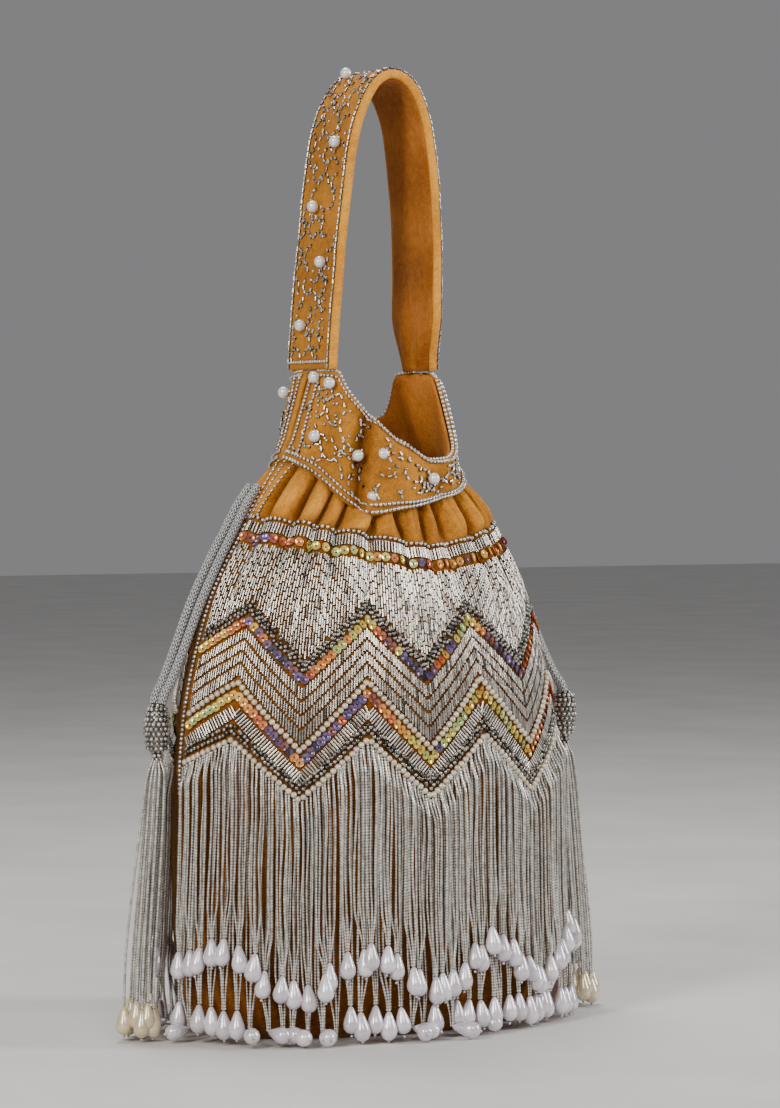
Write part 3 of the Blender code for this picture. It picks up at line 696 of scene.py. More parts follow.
def tassel_line(mirror, turn, reach, foot, r, stray=0.0):
    z = np.linspace(117.2, foot, 46)
    axis = TASSEL_AXIS(z)
    fall = (117.2 - z) / (117.2 - foot)
    sway = r.uniform(0.2, 0.7) * np.sin(fall * math.pi * r.uniform(1.0, 1.9))
    x = axis[:, 0] + axis[:, 1] * reach * math.cos(turn) + sway * math.cos(turn + 1.3)
    y = axis[:, 2] * reach * math.sin(turn) + sway * math.sin(turn + 1.3)
    x = x + stray * np.sin(fall * math.pi * 0.62) ** 2
    return np.stack([-mirror * x, y, z], axis=1)


def add_drop(beads, end, axis, size, tone):
    """A drop pearl whose pointed end is at a place and which points along an axis."""
    side = unit(np.cross(axis, [0.31, 0.2, 0.93] if abs(axis[2]) < 0.7 else [1.0, 0.2, 0.1]))
    beads.add(DROP, (end + axis * 0.15)[None], side, np.cross(-axis, side), -axis, size, tone)
    beads.add(SEED, (end + axis * 12.6)[None], side, np.cross(-axis, side), -axis, 0.65, 0.5)


def tassel(tag, mirror, r):
    """Strings of seed beads that leave the knob's neck, each with a drop pearl, and their centre lines."""
    made = []
    for k in range(12):
        turn = 2 * math.pi * (k + 0.5 * r.random()) / 12
        foot = 12.9 + (0.3, 2.6)[k % 2] + r.uniform(0, 2.2)
        line = tassel_line(mirror, turn, (1.0, 0.86)[k % 2], foot, r, 3.2 if k == 0 else 0.0)
        points, quads, tone, shade = string_mesh(line, 0.68, 1.2, 4, r.random(), r)
        ob = make(f"tassel_string_{tag}_{k + 1}", points, [quads], STRING, tone=tone, body=f"{tag}_pull",
                  slot="tassel_strings", attributes={"shade": shade})
        drop = Beads()
        add_drop(drop, line[-1], unit(line[-1] - line[-4]), 1.0, r.uniform(0.5, 1.0))
        pearl = drop.ready(f"tassel_drop_{tag}_{k + 1}", IVORY, body=f"{tag}_pull", slot="tassel_strings")
        made.append((ob, line, pearl))
    parts, n = [], 0
    for k in range(16):
        turn = 2 * math.pi * (k + r.random()) / 16
        line = tassel_line(mirror, turn, (0.55, 0.72, 0.3, 0.62)[k % 4], 9.0 + r.uniform(0, 14), r)
        points, quads, tone, shade = string_mesh(line, 0.68, 1.25, 3, r.random(), r)
        parts.append((points, quads + n, tone, shade))
        n += len(points)
    points, quads, tone, shade = (np.concatenate(p) for p in zip(*parts))
    make(f"tassel_inner_strings_{tag}", points, [quads], STRING, tone=tone, body=f"{tag}_pull",
         slot="tassel_strings", attributes={"shade": shade})
    return made


def length_of(line):
    return float(np.linalg.norm(np.diff(line, axis=0), axis=1).sum()) * MM


for tag, mirror in (("left", 1), ("right", -1)):
    pull_rng = np.random.default_rng(31 if tag == "left" else 47)
    barrel = knob(tag, mirror, pull_rng)
    for strand, way in (("front", -1), ("back", 1)):
        ob, line = drawcord(tag, mirror, strand, way)
        length_of(line)
    strings = tassel(tag, mirror, pull_rng)
    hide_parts(f"tassel_{tag}")
    for ob, line, pearl in strings:
        length_of(line)

# ---------------------------------------------------------------- velvet pouch
for name, side in (("body_front_panel", FRONT), ("body_back_panel", BACK)):
    t = np.linspace(0.0008, 0.9992, 281)
    heights = np.array([0, 3, 8, 20, 45, 75, 100, 120, 140, 150, 158, 166, 174, 182, 190, 198, 204.0])
    gather_rows = np.linspace(0, 1, 27)
    thick = -1.1
    sheets = []
    for off in (0.0, thick):
        rows = [skin(t, np.full_like(t, z), side, off) for z in heights]
        rows += [skin(t, heights[-1] + (bead_top(t, side) - heights[-1]) * f, side, off) for f in (0.5,)]
        rows += [gathers(t, np.full_like(t, g), side, off) for g in gather_rows]
        sheets.append(np.stack(rows))
    count = len(sheets[0])
    # Painted light and shade on the panels: darker under the beading and still darker behind the fringes, fold crests
    # lighter and creases darker, darker at the bead line and under the collar's foot.
    tone = np.full((count, len(t)), 0.2)
    tone[:7] = 0.12
    tone[count - 28] = 0.22
    for k, g in enumerate(gather_rows):
        crest = fold(t, side, g=g) - 0.55 + 0.25 * (fold(t + 0.01 * g, side, FINE_PLEATS, g) - 0.5) * g
        tone[count - 27 + k] = 0.44 + crest * 0.62 * math.sin(math.pi * min(1, 0.15 + 0.85 * g)) - 0.25 * (g < 0.02)
        tone[count - 27 + k] -= 0.35 * smoothstep(g, 0.8, 1.0)
    panel = shell(name.replace("body", "velvet"), *sheets, VELVET, flip=side == BACK, tone=tone,
                  slot="mustard_velvet")
    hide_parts(name)

ring_t = np.linspace(0, 1, 49)[:-1]
around = [(ring_t, FRONT), (1 - ring_t, BACK)]


def ring_of(surface, height, off):
    return np.concatenate([surface(t, np.full_like(t, height), s, off) for t, s in around])


heights = (2.8, 8, 22, 60, 110, 150, 182, 200, 206)
sheets = []
for off in (-2.2, -2.9):
    rows = [np.concatenate([np.stack([*oval(t, *pouch_axes(h)[0], s, off), 0 * t + h], axis=-1) for t, s in around])
            for h in heights]
    for f in (0.45, 0.8, 1.0):
        low = [(np.stack([*oval(t, *pouch_axes(206)[0], s, off - 2.4 * f), 0 * t + 206], axis=-1),
                collar(t, 0.0, s, off - 4.5)) for t, s in around]
        rows.append(np.concatenate([a + (b - a) * f for a, b in low]))
    sheets.append(np.stack(rows))
lining = shell("pouch_lining", *sheets, LINING, ring=True, tone=np.full(sheets[0].shape[:2], 0.5), slot="lining_satin")
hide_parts("lining")

a = np.linspace(0, 2 * math.pi, 97)[:-1]
dome = [np.stack([72.2 * f * np.cos(a), 38.2 * f * np.sin(a), 0 * a + z], axis=1)
        for f, z in ((0.02, 0.02), (0.5, 0.02), (0.97, 0.02), (1.0, 0.5), (1.0, 1.7), (0.97, 2.1), (0.5, 2.1), (0.02, 2.1))]
base = make("base_oval", np.concatenate(dome), [grid_faces(8, 96, ring=True, flip=True), np.arange(96)[None],
                                                np.arange(8 * 96 - 1, 7 * 96 - 1, -1)[None]], VELVET,
            tone=np.full(8 * 96, 0.45), slot="mustard_velvet")
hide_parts("base_panel")

# ---------------------------------------------------------------- collar and handle
for name, side in (("collar_front", FRONT), ("collar_back", BACK)):
    t = np.linspace(0.0015, 0.9985, 151)
    h = np.linspace(0, 1, 21)
    outer = np.stack([collar(t, np.full_like(t, v), side, -0.5 * (v > 0.99) - 0.4 * (v < 0.01)) for v in h])
    inner = np.stack([collar(t, np.full_like(t, v), side, -1.6) for v in h])
    # Painted light and shade on the collar: lighter on the ripples' crests, darker in the crease beside the lobe.
    place = (0.318 + 0.085 * h if side == FRONT else 0.36 + 0 * h)[:, None]
    crease = np.exp(-(((t[None] - place) / 0.022) ** 2))
    tone = 0.56 + 0.12 * np.sin(9 * t * math.pi + side)[None] * np.sin(math.pi * h)[:, None] - 0.5 * crease
    cloth = shell(name.replace("collar", "collar_band"), outer, inner, VELVET, flip=side == BACK, tone=tone,
                  slot="mustard_velvet")
    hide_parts(name)

fine_t = np.linspace(0, 1, 81)[:-1]
around_fine = [(fine_t, FRONT), (1 - fine_t, BACK)]
sheets = []
for thick in (0, 0.9):
    rows = []
    for h in np.linspace(-0.04, 0.985, 15):
        hh = max(h, 0)
        rows.append(np.concatenate([
            collar(t, np.full_like(t, hh), s, -2.1 - thick - 2.0 * (1 - hh**3)
                   + 0.5 * np.sin(22 * t + 5 * h) * (1 - hh)) - [0, 0, 3.0 * (h < 0)] for t, s in around_fine]))
    sheets.append(np.stack(rows))
# painted shade: the facing darkens towards its foot, deep in the opening
tone = 0.25 + 0.5 * np.linspace(0, 1, 15)[:, None] ** 1.4 + 0.12 * np.sin(np.linspace(0, 26, 160))[None]
facing = shell("collar_inner_facing", *sheets, PLAIN, ring=True, tone=tone, slot="plain_velvet")
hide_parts("collar_facing")

STRAP_N = 150
strap = spline(STRAP_LINE, STRAP_N)
strap_tangent = unit(np.gradient(strap, axis=0))
strap_out = np.stack([-strap_tangent[:, 1], strap_tangent[:, 0]], axis=1)
strap_share = np.linspace(0, 1, STRAP_N)
pinch = smoothstep(strap_share, 0.9, 1.0)
strap_width = STRAP_WIDTH - (STRAP_WIDTH - STRAP_PINCH) * pinch
strap_width = strap_width + 0.45 * np.sin(strap_share * 21) + 0.3 * np.sin(strap_share * 47 + 1)
STRAP_MM = float(np.linalg.norm(np.diff(strap, axis=0), axis=1).sum())


def on_strap(share, y, off):
    """Point above the handle's outer face at a share of its length and a crosswise place y from -1 to 1."""
    i = np.clip(share, 0, 1) * (STRAP_N - 1)
    k = np.arange(STRAP_N)
    px, pz = np.interp(i, k, strap[:, 0]), np.interp(i, k, strap[:, 1])
    nx, nz = np.interp(i, k, strap_out[:, 0]), np.interp(i, k, strap_out[:, 1])
    wide = np.interp(i, k, strap_width)
    sag = 0.5 * np.sin(share * 17) + 1.6 * np.cos(y * 7.5) * smoothstep(share, 0.88, 1.0)
    off = off + sag * (1 - 0.3 * y * y)
    return np.stack([px + nx * off, y * wide / 2, pz + nz * off], axis=-1)


def strap_layer(section):
    """A closed strip swept along the handle: section is a loop of (crosswise place, offset)."""
    return np.stack([on_strap(strap_share, np.full(STRAP_N, y), np.full(STRAP_N, o)) for y, o in section], axis=1)


outer_loop = [(y, 2.1) for y in np.linspace(-0.93, 0.93, 15)] + [(0.975, 1.85), (0.997, 1.2), (1.0, 0.2), (0.995, -0.9),
                                                                 (0.96, -1.6), (0.9, -1.75)]
outer_loop += [(y, -0.5) for y in (0.86, 0.4, -0.4, -0.86)]
outer_loop += [(-0.9, -1.75), (-0.96, -1.6), (-0.995, -0.9), (-1.0, 0.2), (-0.997, 1.2), (-0.975, 1.85)]
body = strap_layer(outer_loop)
n = len(outer_loop)
# painted highlight: the strap's rolled edges are lighter
edge_highlight = np.array([0.85 if abs(y) > 0.9 else 0.5 for y, o in outer_loop])
tone = np.broadcast_to(edge_highlight, (STRAP_N, n)) + 0.07 * np.sin(strap_share * 31)[:, None]
faces = [grid_faces(STRAP_N, n, ring=True), np.arange(n)[None, ::-1], (np.arange(n) + (STRAP_N - 1) * n)[None]]
handle = make("handle_strap", body.reshape(-1, 3), faces, VELVET, tone=tone, slot="mustard_velvet")
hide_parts("strap_outer")

inner_loop = [(y, -0.75) for y in np.linspace(-0.88, 0.88, 9)] + [(0.9, -1.3), (0.88, -2.0)]
inner_loop += [(y, -2.25) for y in np.linspace(0.82, -0.82, 9)] + [(-0.88, -2.0), (-0.9, -1.3)]
body = strap_layer(inner_loop)
n = len(inner_loop)
tone = np.full((STRAP_N, n), 0.35) + 0.1 * np.sin(strap_share * 43)[:, None]
faces = [grid_faces(STRAP_N, n, ring=True), np.arange(n)[None, ::-1], (np.arange(n) + (STRAP_N - 1) * n)[None]]
under = make("handle_facing", body.reshape(-1, 3), faces, PLAIN, tone=tone, slot="plain_velvet")
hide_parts("strap_facing")

# ---------------------------------------------------------------- beading on the pouch
BAND_START = 0.0215


def walk(path_z, side, pitch, start=BAND_START, surface=None):
    """Evenly spaced t along a line z(t) drawn on the pouch, with the line's own direction there."""
    surface = surface or skin
    t = np.linspace(start, 1 - start, 1600)
    p = surface(t, path_z(t), side)
    along = np.concatenate([[0], np.cumsum(np.linalg.norm(np.diff(p, axis=0), axis=1))])
    count = int(along[-1] / pitch)
    return np.interp((np.arange(count) + 0.5) * along[-1] / count, along, t)


def line_frames(t, path_z, side, surface=None):
    """Frames at points of a line on the pouch, turned to follow the line."""
    surface = surface or skin
    z = path_z(t)
    p, n, across, up = frame_on(t, z, side, surface)
    d = 0.0015
    ahead = surface(np.minimum(t + d, 1), path_z(np.minimum(t + d, 1)), side)
    behind = surface(np.maximum(t - d, 0), path_z(np.maximum(t - d, 0)), side)
    along = unit(ahead - behind)
    return p, n, along, np.cross(n, along)


def bead_row(beads, path_z, side, pitch, size, lift, r, template=SEED, tones=(0.4, 1.1), jitter=0.06, start=BAND_START,
             surface=None):
    t = walk(path_z, side, pitch, start, surface)
    p, n, along, cross = line_frames(t, path_z, side, surface)
    k = len(t)
    at = p + n * lift + along * r.normal(0, jitter, (k, 1)) + cross * r.normal(0, jitter, (k, 1))
    beads.add(template, at, cross, n, along, size, r.uniform(*tones, k))


def upright_bugles(beads, columns, low, high, side, long, r, gap=0.42, stagger=True):
    """Columns of bugles standing on constant t between two heights."""
    for k, t in enumerate(columns):
        z0, z1 = low(t).item(), high(t).item()
        z = z0 - (((k % 2) * 0.5 + r.uniform(0, 0.28)) * long if stagger else 0.0)
        spots = []
        while z < z1 - 1.0:
            a, b = max(z, z0), min(z + long * r.uniform(0.97, 1.02), z1)
            if b - a > 1.6:
                spots.append((0.5 * (a + b), b - a - gap))
            z += long + r.uniform(0, 0.15)
        if spots:
            yield t, np.array(spots)


def stand(beads, places, side, r, radius=0.49):
    t = np.concatenate([np.full(len(s), t) for t, s in places])
    s = np.concatenate([s for _, s in places])
    t = t + r.normal(0, 0.0003, len(t))
    p, n, across, up = frame_on(t, s[:, 0], side)
    tilt = r.normal(0, 0.02, (len(t), 1))
    up = unit(up + across * tilt)
    across = unit(np.cross(up, n))
    lift = radius + 0.12 + r.uniform(0, 0.12, (len(t), 1))
    size = np.stack([np.full(len(t), radius), s[:, 1], np.full(len(t), radius)], axis=1)
    beads.add(TUBE, p + n * lift, across, up, n, size, np.clip(r.normal(0.7, 0.27, len(t)), 0.05, 1.15))


def sequins(beads, path_z, side, r, tones, pitch=3.1, size=2.0):
    """Overlapping cup sequins laid like tiles along a line; tones gives each stretch its colour, a painted reflection,
    and a dark flat bead over each hole is painted shade there.
    """
    t = walk(path_z, side, pitch)
    p, n, along, cross = line_frames(t, path_z, side)
    k = len(t)
    tilt = 0.36 + r.normal(0, 0.07, (k, 1))
    out = unit(n + along * tilt + cross * r.normal(0, 0.07, (k, 1)))
    x = unit(along - out * (along * out).sum(axis=1, keepdims=True))
    at = p + n * 0.85 + cross * r.normal(0, 0.16, (k, 1))
    tone = np.where(r.random(k) < 0.14, r.uniform(0, 1, k), tones(t) + r.normal(0, 0.09, k))
    beads.add(CUP, at, x, np.cross(out, x), out, size, np.clip(tone, 0, 1))
    # painted shade: a dark flat bead over the sequin's hole
    beads.add(SEED, at + out * 0.12, x, np.cross(out, x), out, (0.42, 0.42, 0.2), 0.0)


def stretches(values):
    """A tone that changes from one slope of the zigzag to the next, with a drift along each: the sequins' painted
    reflection, bright where a stretch catches the light and dark where it turns away.
    """
    knots = np.linspace(0, 1, len(values))
    return lambda t: np.interp(t, knots, values)


for tag, side in (("front", FRONT), ("back", BACK)):
    r = np.random.default_rng(101 if side == FRONT else 202)

    def top(drop, side=side):
        return lambda t: bead_top(t, side) - drop

    def zig(key, up):
        return lambda t: zigzag(t, key, up)

    def finish(beads, name, mat, slot, tag=tag):
        ob = beads.ready(f"{name}_beads_{tag}", mat, slot=slot)
        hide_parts(f"{name}_{tag}")

    beads = Beads()
    bead_row(beads, top(0.6), side, 1.95, 0.92, 0.9, r, tones=(0.6, 1.15), start=0.006)
    finish(beads, "top_bead_line", SILVER, "silver_seed_beads")

    beads = Beads()
    columns = walk(top(4.4), side, 1.22)
    stand(beads, list(upright_bugles(beads, columns, top(6.6), top(1.9), side, 4.6, r, 0.1, stagger=False)), side, r)
    finish(beads, "top_bugle_row", BUGLE, "silver_bugles")

    beads = Beads()
    sequins(beads, top(8.9), side, r, stretches([0.5, 0.06, 0.75, 0.9, 0.72, 0.2, 0.66, 0.6, 0.7, 0.1, 0.5]), 3.4)
    finish(beads, "top_sequin_row", SEQUIN, "iridescent_sequins")

    beads = Beads()
    columns = walk(lambda t: 0 * t + 190, side, 1.12)
    stand(beads, list(upright_bugles(beads, columns, zig("upper_sequins", 8.4), top(11.2), side, 5.0, r)), side, r)
    finish(beads, "bugle_field", BUGLE, "silver_bugles")

    beads = Beads()
    for up in (3.9, 5.9, 7.7):
        bead_row(beads, zig("upper_sequins", up), side, 2.05, 0.98, 0.95, r, tones=(0.1, 1.3), jitter=0.3)
    finish(beads, "upper_bead_zigzag", DARK, "silver_seed_beads")

    beads = Beads()
    sequins(beads, zig("upper_sequins", 0), side, r,
            stretches([0.6, 0.7, 0.5, 0.1, 0.2, 0.85, 0.9, 0.1, 0.05, 0.9, 0.85, 0.1, 0.15, 0.6, 0.3, 0.5, 0.7]))
    finish(beads, "upper_sequin_zigzag", SEQUIN, "iridescent_sequins")

    beads = Beads()
    columns = walk(lambda t: 0 * t + 140, side, 1.13)
    places = []
    for k in range(4):
        def high(t, k=k):
            u, v = zigzag(t, "upper_sequins", -3.4), zigzag(t, "upper_pearls", 2.3)
            return u + (v - u) * k / 4

        def low(t, k=k, high=high):
            return high(t, k + 1) + 1.15 if k < 3 else zigzag(t, "upper_pearls", 2.6)
        for t in columns:
            foot, head = low(t).item(), high(t).item()
            places.append((t, np.array([(0.5 * (foot + head) + r.normal(0, 0.12), head - foot - 0.1)])))
    stand(beads, places, side, r)
    finish(beads, "chevron_field", BUGLE, "silver_bugles")

    beads = Beads()
    bead_row(beads, zig("upper_pearls", 0), side, 2.68, 1.36, 1.35, r, PEARL, (0.3, 1.0), 0.08)
    finish(beads, "upper_pearl_zigzag", CREAM, "cream_pearls")

    beads = Beads()
    sequins(beads, zig("upper_pearls", -4.9), side, r,
            stretches([0.85, 0.9, 0.75, 0.3, 0.05, 0.2, 0.15, 0.8, 0.9, 0.95, 0.85, 0.9, 0.8, 0.3, 0.4, 0.2, 0.6]))
    finish(beads, "lower_sequin_zigzag", SEQUIN, "iridescent_sequins")

    beads = Beads()
    middle = zig("upper_pearls", -12.1)
    t = walk(middle, side, 1.34)
    p, n, along, cross = line_frames(t, middle, side)
    size = np.stack([np.full(len(t), 0.52), np.full(len(t), 5.0) + r.normal(0, 0.12, len(t)), np.full(len(t), 0.52)],
                    axis=1)
    cross = unit(cross + along * r.normal(0, 0.05, (len(t), 1)))
    beads.add(TUBE, p + n * 0.66, np.cross(cross, n), cross, n, size, np.clip(r.normal(0.7, 0.27, len(t)), 0.05, 1.15))
    finish(beads, "bugle_zigzag_band", BUGLE, "silver_bugles")

    beads = Beads()
    for up in (6.2, 3.6):
        bead_row(beads, zig("lower_pearls", up), side, 1.9, 1.05, 0.98, r, tones=(0.1, 1.3), jitter=0.24)
    finish(beads, "lower_bead_zigzag", DARK, "silver_seed_beads")

    beads = Beads()
    bead_row(beads, zig("lower_pearls", 0), side, 2.68, 1.4, 1.4, r, PEARL, (0.3, 1.0), 0.08)
    finish(beads, "lower_pearl_zigzag", CREAM, "cream_pearls")

for tag, share in (("left", 0.0075), ("right", 0.9925)):
    r = np.random.default_rng(61)
    beads = Beads()
    z = np.arange(103, 216, 1.9)
    p, n, across, up = frame_on(np.full(len(z), share), z, FRONT)
    beads.add(SEED, p + n * 0.9, across, n, up, 0.9, r.uniform(0.4, 1.1, len(z)))
    ob = beads.ready(f"seam_line_{tag}", SILVER, slot="silver_seed_beads")
    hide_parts(f"seam_beads_{tag}")

# ---------------------------------------------------------------- fringes
def fringe(tag, side, tier, r):
    """One tier of bead strings in threes, each three ending in a drop pearl."""
    count = 42 if tier == "short" else 41
    start = 0.026 if tier == "short" else 0.014
    near = 4.2 if tier == "short" else 1.6
    centres = start + (np.arange(count) + 0.5) * (1 - 2 * start) / count + r.normal(0, 0.002, count)
    parts, n = [], 0
    drops = Beads()
    for t0 in centres:
        depth = r.uniform(-0.7, 1.0) + near
        lie = tier == "long" and r.random() < 0.4
        if tier == "short":
            end_z = zigzag(t0, SHORT_DROP_FOOT).item() + DROP_LONG + r.normal(0.6, 1.3)
        else:
            end_z = (4.6 + r.uniform(0, 1.2)) if lie else 12.9 + r.uniform(0, 3.4)
        reach = depth + (1.8 if tier == "short" else 3.2) + r.uniform(0, 2.2)
        end_t = float(np.clip(t0 + r.normal(0, 0.004), 0.01, 0.99))
        x, y = plumb(np.array([end_t]), np.array([60.0]), side, reach)
        end = np.array([x[0], y[0], end_z])
        outward = unit(np.array([x[0] / 94**2, y[0] / 58**2, 0]))
        sideways = np.array([-outward[1], outward[0], 0])
        if lie:
            turn = r.uniform(-1.2, 1.2)
            axis = unit(outward * math.cos(turn) + sideways * math.sin(turn) + np.array([0, 0, -0.1]))
            end = end + outward * r.uniform(-3.0, 0.8)
        else:
            axis = unit(np.array([0, 0, -1.0]) + outward * r.uniform(-0.02, 0.12) + sideways * r.normal(0, 0.07))
        spread = (1 - 2 * start) / count / 3
        for way in (-1, 0, 1):
            ts = float(np.clip(t0 + (way + r.uniform(-0.25, 0.25)) * spread, start, 1 - start))
            z_top = zigzag(ts, "lower_pearls").item() - 1.2
            z = np.linspace(z_top, end_z, 50)
            fall = (z_top - z) / (z_top - end_z)
            meet = smoothstep(fall, 0.72 + 0.12 * r.random(), 1.0)
            deep = depth + (0.9, -0.5, 0.6)[way + 1] * r.uniform(0.4, 1.2)
            base = plumb(np.full(50, ts), np.full(50, 100.0), side,
                         1.0 + (deep - 1.0) * smoothstep(fall, 0, 0.14) + (reach - deep) * fall**2)
            sway = r.uniform(0.1, 0.8) * np.sin(fall * math.pi * r.uniform(1.0, 2.8) + r.uniform(0, 1))
            line = np.stack([base[0], base[1], z], axis=1)
            line = line + sideways * (sway * smoothstep(fall, 0, 0.3) * (1 - meet))[:, None]
            close = end + sideways * way * 0.55 + outward * (0.35 - 0.6 * abs(way))
            line = line + (close - line) * meet[:, None] * [1, 1, 0]
            p, q, c, d = string_mesh(line, r.uniform(0.6, 0.7), 1.24, 3, r.uniform(0, 2), r)
            parts.append((p, q + n, c, d))
            n += len(p)
        add_drop(drops, end, axis, r.uniform(0.95, 1.03), r.uniform(0.3, 1.0))
    points, quads, tone, shade = (np.concatenate(p) for p in zip(*parts))
    strings = make(f"fringe_{tier}_strings_{tag}", points, [quads], STRING, tone=tone, slot="fringe_strings",
                   attributes={"shade": shade})
    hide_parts(f"fringe_{tier}_{tag}")
    drops.ready(f"fringe_{tier}_drops_{tag}", WHITE, slot="white_pearls")


for tag, side in (("front", FRONT), ("back", BACK)):
    for tier in ("long", "short"):
        fringe(tag, side, tier, np.random.default_rng(300 + 10 * (side == BACK) + (tier == "short")))

# ---------------------------------------------------------------- embroidery on collar and handle
def strap_frames(share, y, off):
    p = on_strap(share, y, off)
    along = unit(on_strap(np.minimum(share + 0.004, 1), y, off) - on_strap(np.maximum(share - 0.004, 0), y, off))
    across = unit(on_strap(share, y + 0.03, off) - on_strap(share, y - 0.03, off))
    return p, along, across, unit(np.cross(across, along)) * -1


def arc_spots(r, length, width, step, keep):
    """Short curved runs of beads over a strip: positions and directions in millimetres."""
    spots = []
    row = 0
    s = 5.0
    while s < length - 4:
        for lane in np.arange(-1, 2) * width * 0.29 + (row % 2) * width * 0.13:
            if r.random() > keep:
                continue
            radius, begin = r.uniform(3.2, 6.0), r.uniform(0, 2 * math.pi)
            for k in range(int(r.integers(3, 6))):
                a = begin + k * 3.3 / radius
                spots.append((s + radius * math.cos(a) * 0.9, lane + radius * math.sin(a) * 0.9, a + math.pi / 2))
        s += step
        row += 1
    spots = np.array(spots)
    return spots[np.abs(spots[:, 1]) < width / 2 - 3.2]


r = np.random.default_rng(77)
cut, edge, white = Beads(), Beads(), Beads()
spots = arc_spots(r, STRAP_MM, STRAP_WIDTH, 6.2, 0.95)
share, y = spots[:, 0] / STRAP_MM, spots[:, 1] * 2 / STRAP_WIDTH
ok = (share > 0.015) & (share < 0.985)
share, y, turn = share[ok], y[ok], spots[ok, 2]
p, along, across, n = strap_frames(share, y, 2.55)
direction = unit(along * np.cos(turn)[:, None] + across * np.sin(turn)[:, None])
cut.add(TUBE, p, np.cross(direction, n), direction, n, (0.6, 1.75, 0.6), r.uniform(0.4, 1.15, len(p)))
p, along, across, n = strap_frames(r.uniform(0.02, 0.98, 150), r.uniform(-0.8, 0.8, 150), 2.65)
cut.add(SEED, p, along, across, n, 0.72, r.uniform(0.4, 1.1, 150))
for y in (-0.9, 0.9):
    share = (np.arange(int(STRAP_MM / 2.55)) + 0.5) / int(STRAP_MM / 2.55)
    p, along, across, n = strap_frames(share, np.full(len(share), y), 2.75)
    turn = r.normal(0, 0.09, (len(p), 1))
    edge.add(TUBE, p + n * r.normal(0, 0.05, (len(p), 1)), np.cross(unit(along + across * turn), n),
             unit(along + across * turn), n, (0.66, 1.95, 0.66), r.uniform(0.5, 1.15, len(p)))
for share in (0.012, 0.988):
    y = np.linspace(-0.88, 0.88, 17)
    p, along, across, n = strap_frames(np.full(17, share), y, 2.7)
    edge.add(SEED, p, along, n, across, (0.8, 0.8, 1.0), r.uniform(0.6, 1.1, 17))
for side in (FRONT, BACK):
    def lift(t, h, side, off=0.0):
        return collar(t, h, side, off)

    for h, pitch, size in ((0.955, 1.95, 0.85), (0.035, 1.95, 0.9), (0.1, 2.0, 0.85)):
        t = walk(lambda t, h=h: 0 * t + h, side, pitch, 0.006, lift)
        p = collar(t, 0 * t + h, side)
        q = collar(np.minimum(t + 0.003, 1), 0 * t + h, side) - collar(np.maximum(t - 0.003, 0), 0 * t + h, side)
        up = unit(collar(t, 0 * t + h + 0.02, side) - collar(t, 0 * t + h - 0.02, side))
        along = unit(q)
        n = unit(np.cross(along, up) * -side)
        edge.add(SEED, p + n * 0.75, up, n, along, (size, size, size * 1.15), r.uniform(0.6, 1.15, len(t)))
    for share in (0.014, 0.052, 0.948, 0.986):
        h = np.linspace(0.12, 0.93, 20 if share < 0.5 else 21)
        t = np.full(len(h), share)
        up = unit(collar(t, h + 0.02, side) - collar(t, h - 0.02, side))
        edge.add(SEED, collar(t, h, side, 0.75), [1, 0, 0], np.cross(up, [1.0, 0, 0]), up, (0.8, 0.8, 0.9),
                 r.uniform(0.5, 1.15, len(h)))
    t = walk(lambda t: 0 * t + 1.0, side, 1.9, 0.02, lift)
    p = collar(t, 0 * t + 1.0, side, -1.1)
    white.add(SEED, p + [0, 0, 0.45], [1, 0, 0], [0, 1, 0], [0, 0, 1], 0.8, r.uniform(0.4, 1.0, len(t)))
    spots = arc_spots(r, 118, 44, 5.6, 0.97)
    t, h = spots[:, 0] / 118, spots[:, 1] / 44 + 0.5
    low, high = collar_low[side](t), collar_top[side](t)
    room = 5.0 / np.maximum(high - low, 8)
    ok = (h > room) & (h < 1 - room) & (t > 0.02) & (t < 0.98)
    t, h, turn = t[ok], h[ok], spots[ok, 2]
    p = collar(t, h, side)
    along = unit(collar(t + 0.004, h, side) - collar(t - 0.004, h, side))
    up = unit(collar(t, h + 0.02, side) - collar(t, h - 0.02, side))
    n = unit(np.cross(along, up) * -side)
    direction = unit(along * np.cos(turn)[:, None] + up * np.sin(turn)[:, None])
    cut.add(TUBE, p + n * 0.65, np.cross(direction, n), direction, n, (0.6, 1.75, 0.6), r.uniform(0.4, 1.15, len(p)))
    t, h = r.uniform(0.03, 0.97, 90), r.uniform(0.2, 0.85, 90)
    cut.add(SEED, collar(t, h, side, 0.6), [1, 0, 0], [0, 1, 0], [0, 0, 1], 0.72, r.uniform(0.4, 1.1, 90))
    for share in (0.012, 0.046, 0.954, 0.988):
        g = np.linspace(0.04, 0.97, 14)
        t = np.full(14, share)
        p = gathers(t, g, side, 0.7)
        up = unit(gathers(t, g + 0.02, side) - gathers(t, g - 0.02, side))
        edge.add(SEED, p, [1, 0, 0], np.cross(up, [1.0, 0, 0]), up, (0.8, 0.8, 0.9), r.uniform(0.5, 1.15, 14))
cut.ready("cut_bead_sprigs", SILVER, slot="silver_seed_beads")
edge.ready("collar_and_handle_bead_lines", SILVER, slot="silver_seed_beads")
white.ready("rim_white_beads", ROUND, slot="white_pearls")

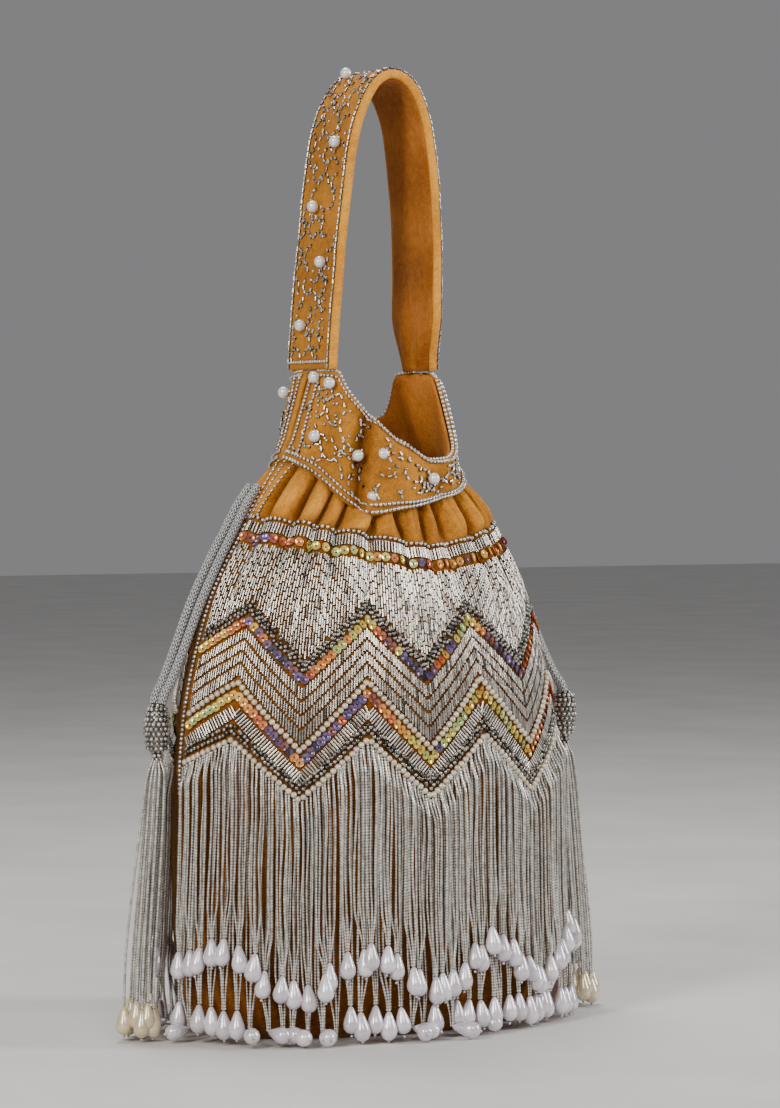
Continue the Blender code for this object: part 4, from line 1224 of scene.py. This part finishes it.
for name in sorted(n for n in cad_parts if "_pearl_" in n and n.split("_")[-1].isdigit()):
    low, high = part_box(name)
    centre = np.array((low + high) / 2) / MM
    pearl = Beads()
    pearl.add(BALL, centre[None], [1, 0, 0], [0, 1, 0], [0, 0, 1], 2.5, 0.8)
    ob = pearl.ready(name + "_round", ROUND, slot="white_pearls")
    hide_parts(name)
more = Beads()
for share, y in ((0.56, -9), (0.66, 6), (0.75, -5), (0.84, 8), (0.93, 0)):
    p, along, across, n = strap_frames(np.array([share]), np.array([y / 19]), 2.1 + 2.6)
    more.add(BALL, p, along, across, n, 2.5, 0.8)
for t, h in ((0.12, 0.8), (0.3, 0.4), (0.5, 0.6), (0.68, 0.35), (0.85, 0.75)):
    more.add(BALL, collar(np.array([t]), np.array([h]), BACK, 2.6), [1, 0, 0], [0, 1, 0], [0, 0, 1], 2.5, 0.8)
more.ready("other_round_pearls", ROUND, slot="white_pearls")

# ---------------------------------------------------------------- floor and light
m, tree, s = nodes_of("floor")
grain = noise(tree, 9, 4, 0.5)
tree.links.new(ramp(tree, grain, [(0.3, (0.60, 0.585, 0.56)), (0.7, (0.68, 0.665, 0.64))]), s.inputs["Base Color"])
s.inputs["Roughness"].default_value = 0.6
floor_mesh = bpy.data.meshes.new("floor")
floor_mesh.from_pydata([(-6, -6, 0), (6, -6, 0), (6, 6, 0), (-6, 6, 0)], [], [(0, 1, 2, 3)])
floor_mesh.materials.append(m)
floor = bpy.data.objects.new("floor", floor_mesh)
scene.collection.objects.link(floor)
floor.location.z = -0.0004
floor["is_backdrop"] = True


def area(name, at, target, size, power, colour=(1, 1, 1)):
    light = bpy.data.lights.new(name, "AREA")
    light.shape, light.size, light.size_y = "RECTANGLE", size[0], size[1]
    light.energy, light.color = power, colour
    ob = bpy.data.objects.new(name, light)
    scene.collection.objects.link(ob)
    ob.location = at
    ob.rotation_euler = (Vector(target) - Vector(at)).to_track_quat("-Z", "Y").to_euler()


area("key", (-1.6, -0.9, 1.0), (0, 0, 0.22), (0.35, 0.9), 30, (1.0, 0.97, 0.93))
area("right", (1.5, -0.9, 0.9), (0, 0, 0.22), (0.3, 0.9), 27, (0.98, 0.98, 1.0))
area("front", (-0.5, -1.9, 1.3), (0, 0, 0.15), (0.7, 0.5), 13)
area("top", (0.1, 0.5, 1.6), (0, 0, 0.3), (0.6, 0.6), 14)
world = bpy.data.worlds.new("studio")
world.use_nodes = True
world.node_tree.nodes["Background"].inputs["Color"].default_value = (0.80, 0.80, 0.82, 1)
world.node_tree.nodes["Background"].inputs["Strength"].default_value = 0.28
scene.world = world

triangles = {o.name: sum(len(p.vertices) - 2 for p in o.data.polygons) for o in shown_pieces() if o.type == "MESH"}
print("pieces", len(triangles), "triangles", sum(triangles.values()), "largest", max(triangles, key=triangles.get),
      max(triangles.values()))
